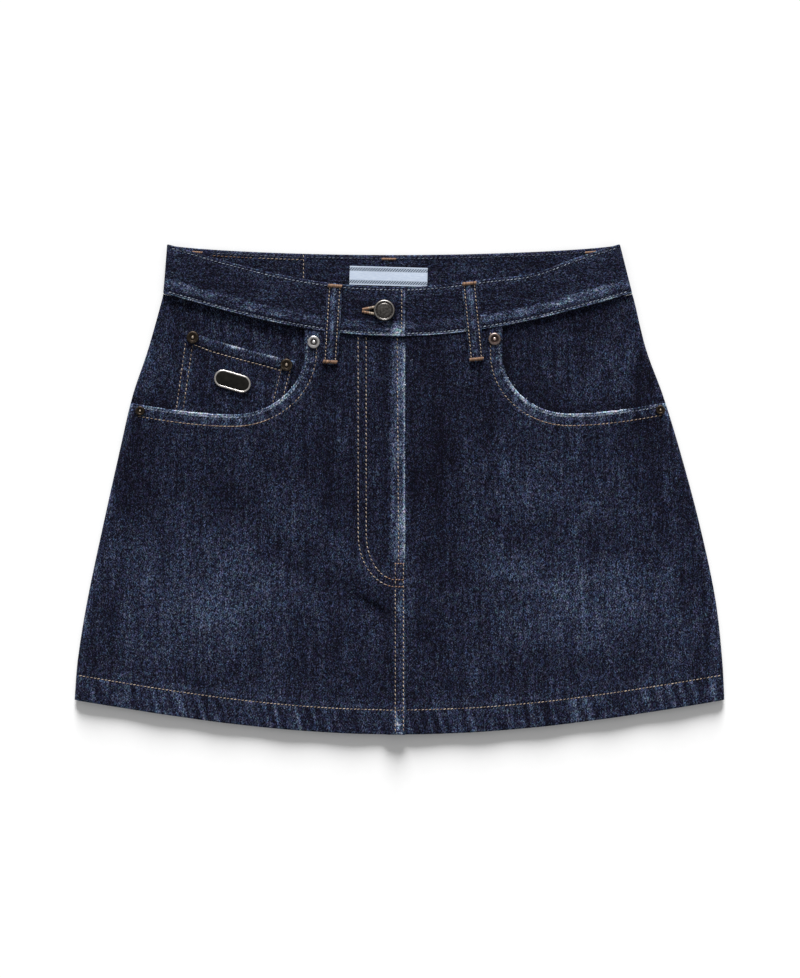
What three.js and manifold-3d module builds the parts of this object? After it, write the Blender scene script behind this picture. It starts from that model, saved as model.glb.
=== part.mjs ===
// A denim mini skirt laid flat, face up, on a table: five-pocket front, shank button and turned hem.
// Millimetres. +X is to the right of someone looking down at it, +Y runs from hem to waist and +Z is up.
// The origin is on the table, under the middle of the garment.
//
// Every wall is laid out in garment coordinates. `up` is the height that a line of the cloth has at the side
// seams, and between them that line bows down towards the hem: x and `up` give y. A wall's outer face has a
// level above the table, and the layers under it are measured as a depth in from that face.

import * as THREE from 'three';
import { mergeVertices } from 'three/addons/utils/BufferGeometryUtils.js';
import Module from 'manifold-3d';

const wasm = await Module();
wasm.setup();

// Driving dimensions
const LENGTH = 392.4;        // lowest point of the hem to the waist at the side seams
const HEM_BOW = 27.6;        // how much lower the middle of the hem is than its corners
const FRONT_DIP = 34.6;      // how much lower the front waist edge is in the middle
const BACK_DIP = 8.5;        // the same for the back waist edge
const BACK_FULLNESS = 0.6;   // at the waist the back's curve is flatter in the middle and steeper at the ends
const WAIST_SAG = { x: 107, width: 26, drop: 4 };   // a slack place in the front waist edge
const BAND_HEIGHT = 39.6;    // waistband
const CLOTH = 1.2;           // one ply of heavy denim
const BAND_THICK = 2.4;      // two plies and the seam allowance between them
const HEM_THICK = 2.6;       // the hem is turned twice
const HEM_HEIGHT = 20;
const HEM_STEP = 2;          // over which the hem thins to one ply
const LOOP_THICK = 1.6;
const LOOP_WIDTH = 12.2;
const LOOP_LENGTH = 65;
const COIN_THICK = 0.9;
const FACING_THICK = 1;
const LABEL_THICK = 0.5;
const GAP = 0.3;             // between pieces that are sewn or pressed together
const SLIDE_GAP = 0.4;       // between layers that only lie on each other
const SIDE_ROUND = 7;        // width of the rounded edge along a side seam
const BAND_SIDE_ROUND = 6;

// Heights in garment coordinates
const WAIST_SIDE = LENGTH / 2;
const SEAM_SIDE = WAIST_SIDE - BAND_HEIGHT;
const HEM_SIDE = HEM_BOW - LENGTH / 2;
const BACK_HEM_SIDE = HEM_SIDE + 0.8;   // the back hem hides behind the front one

// The side edges of the skirt, from hem corner to waist
const OUTLINE = [
  { up: -168.6, left: -260.4, right: 260.4 },
  { up: -136, left: -257.8, right: 258.6 },
  { up: -88, left: -250, right: 253.2 },
  { up: -31, left: -238, right: 241.2 },
  { up: 26.6, left: -225.2, right: 226 },
  { up: 74.6, left: -214, right: 211.4 },
  { up: 112.6, left: -201.2, right: 197.4 },
  { up: 150.8, left: -190.4, right: 188 },
  { up: 156.6, left: -189.2, right: 186.4 },
  { up: 196.2, left: -186, right: 176.4 },
];

// Level of the front's outer face above the table
const FRONT_LEVELS = [
  { up: -168.6, level: 6 },
  { up: -150, level: 6 },
  { up: -128, level: 5.2 },
  { up: -40, level: 4.8 },
  { up: 20, level: 5.4 },
  { up: 64, level: 6.4 },
  { up: 110, level: 7 },
  { up: 130, level: 7.3 },
  { up: 156.6, level: 7.6 },
];
const BAND_LEVEL = 8.2;      // front waistband
const BACK_BAND_LEVEL = 2;   // back waistband, held up by the belt loops under it
const BACK_PANEL_LEVEL = 2;
const BACK_LIFT_FROM = 90;   // the back panel leaves the table between these two heights
const BACK_LIFT_TO = 130;
const SEAM_PLANE = 2.4;      // where front and back meet at the side seams
const SEAM_PLANE_LIFT = 1.7;

// The largest folds of the front, as soft troughs and ridges along an arc from one point to another
const FOLDS = [
  { fromX: -158, fromY: 22, toX: -8, toY: -98, bulge: -18, width: 13, rise: -0.8 },
  { fromX: -128, fromY: 34, toX: -14, toY: -70, bulge: -14, width: 12, rise: 0.6 },
  { fromX: 30, fromY: 112, toX: 28, toY: -60, bulge: 4, width: 13, rise: -0.8 },
  { fromX: 56, fromY: -10, toX: 168, toY: -22, bulge: 6, width: 12, rise: 0.7 },
  { fromX: 50, fromY: -34, toX: 166, toY: -54, bulge: 8, width: 12, rise: -0.6 },
  { fromX: -196, fromY: 30, toX: -232, toY: -140, bulge: 5, width: 15, rise: 0.6 },
  { fromX: 214, fromY: 30, toX: 226, toY: -140, bulge: -6, width: 15, rise: 0.6 },
  { fromX: -180, fromY: -100, toX: -128, toY: -104, bulge: 0, width: 42, rise: 0.8 },
  { fromX: 150, fromY: -92, toX: 200, toY: -96, bulge: 0, width: 42, rise: 0.8 },
];
const FOLD_END = 0.12;       // share of its arc that a fold has faded by at each end
const HEM_WAVE = { rise: 0.35, length: 52, fadeOver: 60 };

// Centre front: the left front laps over the right one, above as the fly and below as a felled seam
const FRONT_EDGE_X = 4.6;
const FLY_UNDERLAP = 11;
const FLY_RISE = CLOTH + SLIDE_GAP;
const FLY = { slopeFrom: 50, slopeTo: 35, foot: -78, footBlend: 22, seamSlopeFrom: 20, seamSlopeTo: 11.5 };
const HEM_LAP_BLEND = 8;     // above the hem, where the felled seam climbs to the turned cloth's thickness
const TAB_UNDERLAP = 28;
const TAB_RISE = BAND_THICK + SLIDE_GAP;
const TAB_SLOPE = { from: 62, to: 31 };

// Front pockets: down from the waist seam, a quarter of an ellipse, then a slow rise to the side seam
const POCKETS = {
  left: { side: -1, mouthX: -75.6, bendY: 110, lowX: -133, lowY: 59.4, sideY: 68.6 },
  right: { side: 1, mouthX: 82, bendY: 108, lowX: 136, lowY: 60, sideY: 69.4 },
};
const POCKET_SIDE_X = 214;
const CUT_HEIGHT = 60;
const FACING_FOOT = 48;
const FACING_INNER_X = 60;
const FACING_DEPTH = CLOTH + SLIDE_GAP;                            // where only the front lies on it
const FACING_DEPTH_UNDER_COIN = CLOTH + GAP + COIN_THICK + GAP;    // where the coin pocket does too
const SIDE_OVERLAP = 4;      // the facing stays under the front this far above the end of the opening
const FACING_STEP = { from: 186, to: 200 };                        // between the two, beside the coin pocket
const COIN_CORNERS = {
  topLeft: [-171.2, 127],
  topRight: [-83.6, 102.4],
  footRight: [-97.5, 51],
  footLeft: [-181.4, 53],
};

// Hardware and trim
const BUTTON = { x: -12.1, y: 142.6, capRadius: 8.5, shankRadius: 2.3, capRise: 1, capHeight: 3 };
const BUTTONHOLE = { eyeRadius: 3.1, tail: 17 };
const RIVET_HEIGHT = 1.3;
const RIVET_RADIUS = 5;
const SMALL_RIVET_RADIUS = 3.8;
const BADGE = { x: -133.6, y: 86.4, length: 30, height: 14, thick: 1.4, bevel: 0.4, tilt: -16.3 };
const LABEL = { fromX: -40.2, toX: 22.6, topY: 178.8, footY: 161.4 };
const FRONT_LOOPS = {
  belt_loop_front_left: { topX: -51.4, topY: 164.4, lean: -3.6 },
  belt_loop_front_right: { topX: 55.4, topY: 166.4, lean: 5.6 },
};
const BACK_LOOPS = {
  belt_loop_back_left: { x: -162, lean: -4 },
  belt_loop_back_centre: { x: -8.5, lean: 0 },
  belt_loop_back_right: { x: 152.9, lean: 4 },
};
const LOOP_ARCH = [
  { along: 0, lift: 0.3 },
  { along: 0.1, lift: 0.5 },
  { along: 0.35, lift: 1.2 },
  { along: 0.65, lift: 1.3 },
  { along: 0.9, lift: 0.6 },
  { along: 1, lift: 0.3 },
];

// Colours
const DENIM = { color: 0x262a3a, roughness: 0.9, metalness: 0 };
const WORN_DENIM = { color: 0x343d55, roughness: 0.9, metalness: 0 };
const PALE_SATIN = { color: 0xc6d3ea, roughness: 0.6, metalness: 0 };
const PEWTER = { color: 0x5a5652, roughness: 0.4, metalness: 0.9 };
const BRIGHT_STEEL = { color: 0xa9a5a8, roughness: 0.35, metalness: 0.9 };
const BRONZE = { color: 0x4a4038, roughness: 0.45, metalness: 0.85 };
const BLACK_ENAMEL = { color: 0x15130f, roughness: 0.3, metalness: 0.2 };

const lerp = THREE.MathUtils.lerp;
const clamp = THREE.MathUtils.clamp;

/** 0 before `from`, 1 past `to` and smooth between them, whichever of the two is the larger. */
function ramp(x, from, to) {
  const t = clamp((x - from) / (to - from), 0, 1);
  return t * t * (3 - 2 * t);
}

/** A smooth curve through one column of a table: cubic pieces with slopes from the neighbouring rows. */
function curveThrough(rows, key, column) {
  const slopes = rows.map((row, i) => {
    const before = rows[Math.max(i - 1, 0)];
    const after = rows[Math.min(i + 1, rows.length - 1)];
    return (after[column] - before[column]) / (after[key] - before[key]);
  });
  return (at) => {
    let i = 0;
    while (i < rows.length - 2 && at > rows[i + 1][key]) i += 1;
    const span = rows[i + 1][key] - rows[i][key];
    const t = clamp((at - rows[i][key]) / span, 0, 1);
    const rise = rows[i + 1][column] - rows[i][column];
    return rows[i][column] + rise * t * t * (3 - 2 * t)
      + span * t * (1 - t) * (slopes[i] * (1 - t) - slopes[i + 1] * t);
  };
}

const leftEdge = curveThrough(OUTLINE, 'up', 'left');
const rightEdge = curveThrough(OUTLINE, 'up', 'right');
const frontBaseLevel = curveThrough(FRONT_LEVELS, 'up', 'level');
const loopLift = curveThrough(LOOP_ARCH, 'along', 'lift');

/** How far the cloth's cross lines bow down at x: 1 in the middle, 0 at the side seams. */
function bow(x, up) {
  const middle = (leftEdge(up) + rightEdge(up)) / 2;
  const half = (rightEdge(up) - leftEdge(up)) / 2;
  return Math.cos(Math.PI / 2 * clamp((x - middle) / half, -1, 1));
}

function heightAt(face, x, up) {
  const share = clamp((up - HEM_SIDE) / (SEAM_SIDE - HEM_SIDE), 0, 1);
  const { sag, fullness = 1 } = face;
  const inBand = (up - SEAM_SIDE) / BAND_HEIGHT;
  const slack = sag ? sag.drop * Math.exp(-(((x - sag.x) / sag.width) ** 2)) * inBand : 0;
  return up - bow(x, up) ** lerp(1, fullness, share) * lerp(HEM_BOW, face.dip, share) - slack;
}

/** The garment height whose line passes through (x, y), found by repeated correction. */
function upAt(face, x, y) {
  let up = y;
  for (let step = 0; step < 12; step += 1) up += y - heightAt(face, x, up);
  return up;
}

/** All folds at a point: a bell across each arc, fading out towards its ends. The arc leaves the straight
 *  line between its ends by `bulge` in the middle, as a parabola. */
function foldRise(x, y) {
  return FOLDS.reduce((sum, fold) => {
    const alongX = fold.toX - fold.fromX;
    const alongY = fold.toY - fold.fromY;
    const length = Math.hypot(alongX, alongY);
    const t = ((x - fold.fromX) * alongX + (y - fold.fromY) * alongY) / length ** 2;
    const across = ((y - fold.fromY) * alongX - (x - fold.fromX) * alongY) / length;
    const inside = clamp(t, 0, 1);
    const off = Math.hypot(across - fold.bulge * 4 * inside * (1 - inside), (t - inside) * length);
    const fade = Math.sin(Math.PI * lerp(FOLD_END, 1 - FOLD_END, inside));
    return sum + fold.rise * fade * Math.exp(-((off / fold.width) ** 2));
  }, 0);
}

function frontLevel(x, y, up) {
  const hemShare = ramp(up, HEM_SIDE + HEM_WAVE.fadeOver, HEM_SIDE);
  const wave = HEM_WAVE.rise * hemShare * Math.sin((2 * Math.PI * x) / HEM_WAVE.length);
  return frontBaseLevel(up) + foldRise(x, y) + wave;
}

/** The left front rises over what it laps: the whole fly above its foot, only the felled seam below it. */
function lappedFrontLevel(x, y, up) {
  const inFly = ramp(y, FLY.foot - FLY.footBlend, FLY.foot);
  const slopeFrom = FRONT_EDGE_X - lerp(FLY.seamSlopeFrom, FLY.slopeFrom, inFly);
  const slopeTo = FRONT_EDGE_X - lerp(FLY.seamSlopeTo, FLY.slopeTo, inFly);
  const overHem = ramp(up, HEM_SIDE + HEM_HEIGHT + HEM_LAP_BLEND, HEM_SIDE + HEM_HEIGHT);
  return frontLevel(x, y, up) + lerp(FLY_RISE, HEM_THICK + SLIDE_GAP, overHem) * ramp(x, slopeFrom, slopeTo);
}

function backPanelLevel(x, y, up) {
  return BACK_PANEL_LEVEL * ramp(up, BACK_LIFT_FROM, BACK_LIFT_TO);
}

function lappedBandLevel(x) {
  return BAND_LEVEL + TAB_RISE * ramp(x, FRONT_EDGE_X - TAB_SLOPE.from, FRONT_EDGE_X - TAB_SLOPE.to);
}

const seamPlane = (up) => SEAM_PLANE + SEAM_PLANE_LIFT * ramp(up, BACK_LIFT_FROM, BACK_LIFT_TO);
const bandSeamPlane = () => (BAND_LEVEL + BACK_BAND_LEVEL) / 2;

// Faces of the garment. `sign` is 1 where the outer face looks up and -1 where it looks down.
const LEFT_FRONT = { sign: 1, dip: FRONT_DIP, level: lappedFrontLevel, seam: seamPlane, round: SIDE_ROUND };
const RIGHT_FRONT = { ...LEFT_FRONT, level: frontLevel };
const BACK = {
  sign: -1,
  dip: BACK_DIP,
  fullness: BACK_FULLNESS,
  level: backPanelLevel,
  seam: (up) => seamPlane(up) - GAP,
  round: SIDE_ROUND,
};
const LEFT_BAND = {
  sign: 1,
  dip: FRONT_DIP,
  level: lappedBandLevel,
  seam: bandSeamPlane,
  round: BAND_SIDE_ROUND,
};
const RIGHT_BAND = { ...LEFT_BAND, level: () => BAND_LEVEL, sag: WAIST_SAG };
const BACK_BAND = {
  sign: -1,
  dip: BACK_DIP,
  fullness: BACK_FULLNESS,
  level: () => BACK_BAND_LEVEL,
  seam: bandSeamPlane,
  round: BAND_SIDE_ROUND,
};

/** Where the flat part of a face ends, beside the rounded edge of a side seam. */
function flatEnd(face, side, up) {
  return side < 0 ? leftEdge(up) + face.round : rightEdge(up) - face.round;
}

/** A point of a wall, `depth` in from the outer face. On the rounded edge the wall turns towards the seam
 *  plane on a quarter of an ellipse, `inset` in from the outline. */
function wallPoint(face, column, up, depth, inset = depth) {
  const { x: flatX, side = 0, turn = 0 } = column(face, up);
  const x = flatX + side * (face.round - inset) * Math.sin(turn);
  const y = heightAt(face, x, up);
  const level = face.level(flatX, y, up);
  const seam = face.seam(up);
  const fall = Math.abs(level - seam);
  const within = Math.min(depth, turn > 0 ? fall - GAP : depth);
  return new THREE.Vector3(x, y, seam + face.sign * (fall - within) * Math.cos(turn));
}

// Columns run from hem to waist. They are listed round the garment in one direction: from the front edge to
// the left side, along the back to the right side, and back to the front edge.
const SIDE_TURNS = [Math.PI / 6, Math.PI / 3, Math.PI / 2];
const standing = (x) => () => ({ x });
const between = (startX, side, share) => (face, up) => ({ x: lerp(startX, flatEnd(face, side, up), share) });
const rounded = (side, turn) => (face, up) => ({ x: flatEnd(face, side, up), side, turn });
const spread = (count) => Array.from({ length: count }, (_, i) => (i + 1) / count);

const frontColumns = (nearX, side, count) => [
  ...nearX.map(standing),
  ...spread(count).map((share) => between(nearX[nearX.length - 1], side, share)),
  ...SIDE_TURNS.map((turn) => rounded(side, turn)),
];

function backColumns(count) {
  return [
    ...SIDE_TURNS.map((turn) => rounded(-1, turn)).reverse(),
    ...[0, ...spread(count)].map((share) => (face, up) => ({
      x: lerp(flatEnd(face, -1, up), flatEnd(face, 1, up), share),
    })),
    ...SIDE_TURNS.map((turn) => rounded(1, turn)),
  ];
}

/** A closed wall between a grid of outer points and a grid of inner points, each [column][row]. */
function closedWall(outer, inner) {
  const rows = outer[0].length;
  const last = outer.length - 1;
  const points = [...outer.flat(), ...inner.flat()];
  const out = (i, j) => i * rows + j;
  const inn = (i, j) => outer.length * rows + i * rows + j;
  const index = [];
  const quad = (a, b, c, d) => index.push(a, b, c, a, c, d);
  for (let i = 0; i < last; i += 1) {
    for (let j = 0; j < rows - 1; j += 1) {
      quad(out(i, j), out(i, j + 1), out(i + 1, j + 1), out(i + 1, j));
      quad(inn(i, j), inn(i + 1, j), inn(i + 1, j + 1), inn(i, j + 1));
    }
    quad(out(i, 0), out(i + 1, 0), inn(i + 1, 0), inn(i, 0));
    quad(out(i, rows - 1), inn(i, rows - 1), inn(i + 1, rows - 1), out(i + 1, rows - 1));
  }
  for (let j = 0; j < rows - 1; j += 1) {
    quad(out(0, j), inn(0, j), inn(0, j + 1), out(0, j + 1));
    quad(out(last, j), out(last, j + 1), inn(last, j + 1), inn(last, j));
  }
  const geometry = new THREE.BufferGeometry().setFromPoints(points);
  geometry.setIndex(index);
  return geometry;
}

/** A wall of a face over some columns and heights. */
function panel(face, columns, ups, thick, depth = () => 0, inset = depth) {
  const grid = (extra) => columns.map((column) => ups.map((up) => {
    const { x } = column(face, up);
    const more = extra ? thick(up) : 0;
    return wallPoint(face, column, up, depth(x, up) + more, inset(x, up) + more);
  }));
  return closedWall(grid(false), grid(true));
}

/** The same surface with only positions, and with its shared vertices joined. */
function joined(geometry) {
  const bare = new THREE.BufferGeometry();
  bare.setAttribute('position', geometry.getAttribute('position'));
  bare.setIndex(geometry.index);
  return mergeVertices(bare, 1e-4);
}

function toSolid(geometry) {
  const closed = joined(geometry);
  return new wasm.Manifold(new wasm.Mesh({
    numProp: 3,
    vertProperties: new Float32Array(closed.getAttribute('position').array),
    triVerts: new Uint32Array(closed.index.array),
  }));
}

function toGeometry(solid) {
  const mesh = solid.getMesh();
  const geometry = new THREE.BufferGeometry();
  geometry.setAttribute('position', new THREE.BufferAttribute(mesh.vertProperties, 3));
  geometry.setIndex(new THREE.BufferAttribute(mesh.triVerts, 1));
  return geometry;
}

/** Cuts an outline out of a wall, through everything above a level. */
function cutThrough(geometry, outline, fromLevel) {
  const size = { depth: CUT_HEIGHT, bevelEnabled: false, curveSegments: 14 };
  const cutter = new THREE.ExtrudeGeometry(outline, size);
  cutter.translate(0, 0, fromLevel);
  return toGeometry(toSolid(geometry).subtract(toSolid(cutter)));
}

/** The pocket opening with all that is above and beside it, so that it cuts away the panel's corner too. */
function pocketOutline({ side, mouthX, bendY, lowX, lowY, sideY }) {
  const sideX = side * POCKET_SIDE_X;
  const beyondX = side * LENGTH;
  const aboveY = LENGTH / 2;
  const shape = new THREE.Shape();
  shape.moveTo(mouthX, aboveY);
  shape.lineTo(mouthX, bendY);
  const startAngle = side < 0 ? 0 : Math.PI;
  shape.absellipse(lowX, bendY, Math.abs(lowX - mouthX), bendY - lowY, startAngle, -Math.PI / 2, side < 0);
  shape.quadraticCurveTo(lerp(lowX, sideX, 0.4), lowY, sideX, sideY);
  shape.lineTo(beyondX, sideY);
  shape.lineTo(beyondX, aboveY);
  shape.closePath();
  return shape;
}

/** The buttonhole, pulled open by the shank: a round eye that narrows to a point away from the edge. */
function buttonholeOutline() {
  const { eyeRadius, tail } = BUTTONHOLE;
  const tangent = Math.acos(eyeRadius / tail);
  const shape = new THREE.Shape();
  shape.moveTo(BUTTON.x - tail, BUTTON.y);
  shape.lineTo(BUTTON.x - eyeRadius * Math.cos(tangent), BUTTON.y - eyeRadius * Math.sin(tangent));
  shape.absarc(BUTTON.x, BUTTON.y, eyeRadius, Math.PI + tangent, Math.PI - tangent, false);
  shape.closePath();
  return shape;
}

// Rows of the walls, closer together where the level or the thickness changes
const FRONT_UPS = [
  HEM_SIDE, HEM_SIDE + HEM_HEIGHT / 2, HEM_SIDE + HEM_HEIGHT, HEM_SIDE + HEM_HEIGHT + HEM_STEP,
  -131, -114, -97, -80, -62, -44, -26, -8, 10, 28, 42, FACING_FOOT, 58, 66, 72, 76, 86, 98, 112, 127, 142,
  SEAM_SIDE - GAP,
];
const BACK_UPS = [
  BACK_HEM_SIDE, BACK_HEM_SIDE + HEM_HEIGHT, BACK_HEM_SIDE + HEM_HEIGHT + HEM_STEP,
  -110, -70, -30, 10, 50, BACK_LIFT_FROM, 100, 110, 120, BACK_LIFT_TO, 143, SEAM_SIDE - GAP,
];
const BAND_UPS = [0, 1 / 3, 2 / 3, 1].map((share) => lerp(SEAM_SIDE, WAIST_SIDE, share));
const turnedHem = (hemSide) => (up) => {
  const hemTop = hemSide + HEM_HEIGHT;
  return lerp(HEM_THICK, CLOTH, ramp(up, hemTop, hemTop + HEM_STEP));
};

function mesh(name, geometry, finish) {
  geometry.computeVertexNormals();
  const made = new THREE.Mesh(geometry, new THREE.MeshStandardMaterial(finish));
  made.name = name;
  return made;
}

// Columns beside the centre front, in step with the slopes of the fly and the felled seam
const LEFT_NEAR_X = [0, 5, 11, 16, 21, 27, 35, 43, 50].map((back) => FRONT_EDGE_X - back);
const RIGHT_NEAR_X = [-FLY_UNDERLAP, 0, 10, 20, 30, 42].map((on) => FRONT_EDGE_X + on);
const LEFT_COLUMNS = frontColumns(LEFT_NEAR_X, -1, 13);
const RIGHT_COLUMNS = frontColumns(RIGHT_NEAR_X, 1, 13).reverse();

function leftFrontPanel() {
  const whole = panel(LEFT_FRONT, LEFT_COLUMNS, FRONT_UPS, turnedHem(HEM_SIDE));
  return mesh('front_panel_left', cutThrough(whole, pocketOutline(POCKETS.left), 0), DENIM);
}

function rightFrontPanel() {
  const whole = panel(RIGHT_FRONT, RIGHT_COLUMNS, FRONT_UPS, turnedHem(HEM_SIDE));
  return mesh('front_panel_right', cutThrough(whole, pocketOutline(POCKETS.right), 0), DENIM);
}

function backPanel() {
  const whole = panel(BACK, backColumns(22), BACK_UPS, turnedHem(BACK_HEM_SIDE));
  return mesh('back_panel', whole, DENIM);
}

/** The denim behind a pocket opening. Above the opening it is the side of the skirt and reaches the outline. */
function pocketFacing(name, face, columns, { sideY }, innerDepth) {
  const kept = columns.filter((column) => Math.abs(column(face, SEAM_SIDE).x) > FACING_INNER_X);
  const ups = FRONT_UPS.filter((up) => up >= FACING_FOOT);
  const depth = (x) => lerp(innerDepth, FACING_DEPTH, ramp(Math.abs(x), FACING_STEP.from, FACING_STEP.to));
  const inset = (x, up) => (up < sideY + SIDE_OVERLAP ? FACING_DEPTH : 0);
  return mesh(name, panel(face, kept, ups, () => FACING_THICK, depth, inset), DENIM);
}

/** A patch on the pocket facing, under the front panel's level by `depth`, between four corners. */
function coinPocket() {
  const { topLeft, topRight, footRight, footLeft } = COIN_CORNERS;
  const steps = 8;
  const shares = [0, ...spread(steps)];
  const grid = (depth) => shares.map((across) => shares.map((rise) => {
    const x = lerp(lerp(footRight[0], footLeft[0], across), lerp(topRight[0], topLeft[0], across), rise);
    const y = lerp(lerp(footRight[1], footLeft[1], across), lerp(topRight[1], topLeft[1], across), rise);
    return new THREE.Vector3(x, y, frontLevel(x, y, upAt(LEFT_FRONT, x, y)) - depth);
  }));
  const outerDepth = CLOTH + GAP;
  return mesh('coin_pocket', closedWall(grid(outerDepth), grid(outerDepth + COIN_THICK)), DENIM);
}

/** One strip from the lapping tab round the left side, along the back and round to the underlying tab. */
function waistband() {
  const lapping = [0, 8, 16, 24, TAB_SLOPE.to, 39, 47, 55, TAB_SLOPE.from].map((back) => FRONT_EDGE_X - back);
  const lapped = [TAB_UNDERLAP, 16, 0, -16, -32, -48].map((back) => FRONT_EDGE_X - back);
  const back = backColumns(20).slice(1, -1);
  const stretches = [
    [LEFT_BAND, frontColumns(lapping, -1, 6)],
    [BACK_BAND, back],
    [RIGHT_BAND, frontColumns(lapped, 1, 11).reverse()],
  ];
  const grid = (depth) => stretches.flatMap(([face, columns]) => columns.map((column) => BAND_UPS.map(
    (up) => wallPoint(face, column, up, depth),
  )));
  const strip = closedWall(grid(0), grid(BAND_THICK));
  return mesh('waistband', cutThrough(strip, buttonholeOutline(), BAND_LEVEL + GAP / 2), DENIM);
}

/** Level of the front's upper surface at a point, whichever piece lies there. */
function topSurface(x, y) {
  const up = upAt(LEFT_FRONT, x, y);
  const left = x < FRONT_EDGE_X;
  if (up > SEAM_SIDE) return left ? lappedBandLevel(x) : BAND_LEVEL;
  return left ? lappedFrontLevel(x, y, up) : frontLevel(x, y, up);
}

const coinSurface = (x, y) => topSurface(x, y) - CLOTH - GAP;

/** The lowest level at which a flat disc clears the surface under it. */
function seatLevel(x, y, radius, surface = topSurface) {
  const onRim = spread(12).map((turn) => surface(
    x + radius * Math.cos(2 * Math.PI * turn),
    y + radius * Math.sin(2 * Math.PI * turn),
  ));
  return GAP + Math.max(surface(x, y), ...onRim);
}

/** A strip along a leaning line, given its underside and its upper side at each share of its length. */
function loopStrip(name, topX, topY, lean, lowSide, highSide) {
  const angle = THREE.MathUtils.degToRad(lean);
  const along = [1, 0.93, 0.86, 0.72, 0.58, 0.44, 0.3, 0.16, 0.08, 0];
  const grid = (side) => [0.5, -0.5].map((across) => along.map((share) => {
    const x = topX + Math.sin(angle) * share * LOOP_LENGTH + Math.cos(angle) * across * LOOP_WIDTH;
    const y = topY - Math.cos(angle) * share * LOOP_LENGTH + Math.sin(angle) * across * LOOP_WIDTH;
    return new THREE.Vector3(x, y, side(share));
  }));
  return mesh(name, closedWall(grid(highSide), grid(lowSide)), WORN_DENIM);
}

function frontLoop(name, { topX, topY, lean }) {
  const footY = topY - LOOP_LENGTH;
  const footX = topX + Math.sin(THREE.MathUtils.degToRad(lean)) * LOOP_LENGTH;
  const seat = (x, y) => Math.max(...[-0.5, 0, 0.5].map((across) => topSurface(x + across * LOOP_WIDTH, y)));
  const bandSeat = Math.max(seat(topX, topY), seat(topX, topY - BAND_HEIGHT));
  const footSeat = Math.max(seat(footX, footY), seat(footX, footY + LOOP_WIDTH));
  const low = (share) => lerp(bandSeat, footSeat, ramp(share, BAND_HEIGHT / LOOP_LENGTH, 1)) + loopLift(share);
  return loopStrip(name, topX, topY, lean, low, (share) => low(share) + LOOP_THICK);
}

/** A back belt loop lies between the table and the back of the skirt. */
function backLoop(name, { x, lean }) {
  return loopStrip(name, x, heightAt(BACK_BAND, x, WAIST_SIDE), lean, () => 0, () => LOOP_THICK);
}

function label() {
  const { fromX, toX, topY, footY } = LABEL;
  const steps = 6;
  const low = BACK_BAND_LEVEL + BAND_THICK + GAP;
  const grid = (z) => [0, ...spread(steps)].map((share) => [footY, topY].map(
    (y) => new THREE.Vector3(lerp(toX, fromX, share), y, z),
  ));
  return mesh('label', closedWall(grid(low + LABEL_THICK), grid(low)), PALE_SATIN);
}

/** Turns a profile of [radius, height] points, from the axis round to the axis, about the vertical. */
function turned(profile, segments) {
  const points = profile.map(([radius, height]) => new THREE.Vector2(radius, height));
  return new THREE.LatheGeometry(points, segments).rotateX(Math.PI / 2);
}

function placed(name, geometry, finish, x, y, z) {
  const made = mesh(name, joined(geometry), finish);
  made.position.set(x, y, z);
  return made;
}

function button() {
  const { x, y, capRadius, shankRadius, capRise, capHeight } = BUTTON;
  const shankFoot = BAND_LEVEL + GAP;
  const capFoot = lappedBandLevel(x) + capRise - shankFoot;
  const capTop = capFoot + capHeight;
  const profile = [
    [0, 0], [shankRadius, 0], [shankRadius, capFoot], [capRadius - 1.2, capFoot], [capRadius, capFoot + 0.9],
    [capRadius, capFoot + 1.6], [capRadius - 0.9, capTop], [capRadius - 2.4, capTop - 0.1],
    [capRadius - 3, capTop - 0.6], [0, capTop - 0.4],
  ];
  return placed('button', turned(profile, 32), PEWTER, x, y, shankFoot);
}

function rivet(name, { x, y, radius, surface = topSurface, finish = BRONZE }) {
  const profile = [
    [0, 0], [radius - 0.3, 0], [radius, 0.35], [radius - 0.6, RIVET_HEIGHT - 0.3],
    [radius * 0.55, RIVET_HEIGHT - 0.1],
    [radius * 0.4, 0.6], [radius * 0.26, 0.7], [radius * 0.2, RIVET_HEIGHT + 0.1], [0, RIVET_HEIGHT + 0.35],
  ];
  return placed(name, turned(profile, 16), finish, x, y, seatLevel(x, y, radius, surface));
}

const RIVETS = {
  rivet_pocket_left_mouth: { x: -68.5, y: 117.6, radius: RIVET_RADIUS, finish: BRIGHT_STEEL },
  rivet_pocket_left_side: { x: -207.4, y: 62.6, radius: SMALL_RIVET_RADIUS },
  rivet_coin_pocket_left: { x: -165.4, y: 121.4, radius: RIVET_RADIUS, surface: coinSurface },
  rivet_coin_pocket_right: { x: -90.4, y: 99.4, radius: RIVET_RADIUS, surface: coinSurface },
  rivet_pocket_right_mouth: { x: 76, y: 120, radius: RIVET_RADIUS },
  rivet_pocket_right_side: { x: 208.6, y: 63.4, radius: SMALL_RIVET_RADIUS },
};

/** A plain oblong plate with round ends, where the coin pocket carries its ornament. */
function badge() {
  const { x, y, length, height, thick, bevel, tilt } = BADGE;
  const half = height / 2 - bevel;
  const reach = length / 2 - height / 2;
  const shape = new THREE.Shape();
  shape.absarc(reach, 0, half, -Math.PI / 2, Math.PI / 2, false);
  shape.absarc(-reach, 0, half, Math.PI / 2, Math.PI * 1.5, false);
  shape.closePath();
  const plate = new THREE.ExtrudeGeometry(shape, {
    depth: thick - 2 * bevel, bevelThickness: bevel, bevelSize: bevel, bevelSegments: 1, curveSegments: 8,
  });
  plate.translate(0, 0, bevel);
  plate.rotateZ(THREE.MathUtils.degToRad(tilt));
  return placed('badge', plate, BLACK_ENAMEL, x, y, seatLevel(x, y, length / 2, coinSurface));
}

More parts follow.
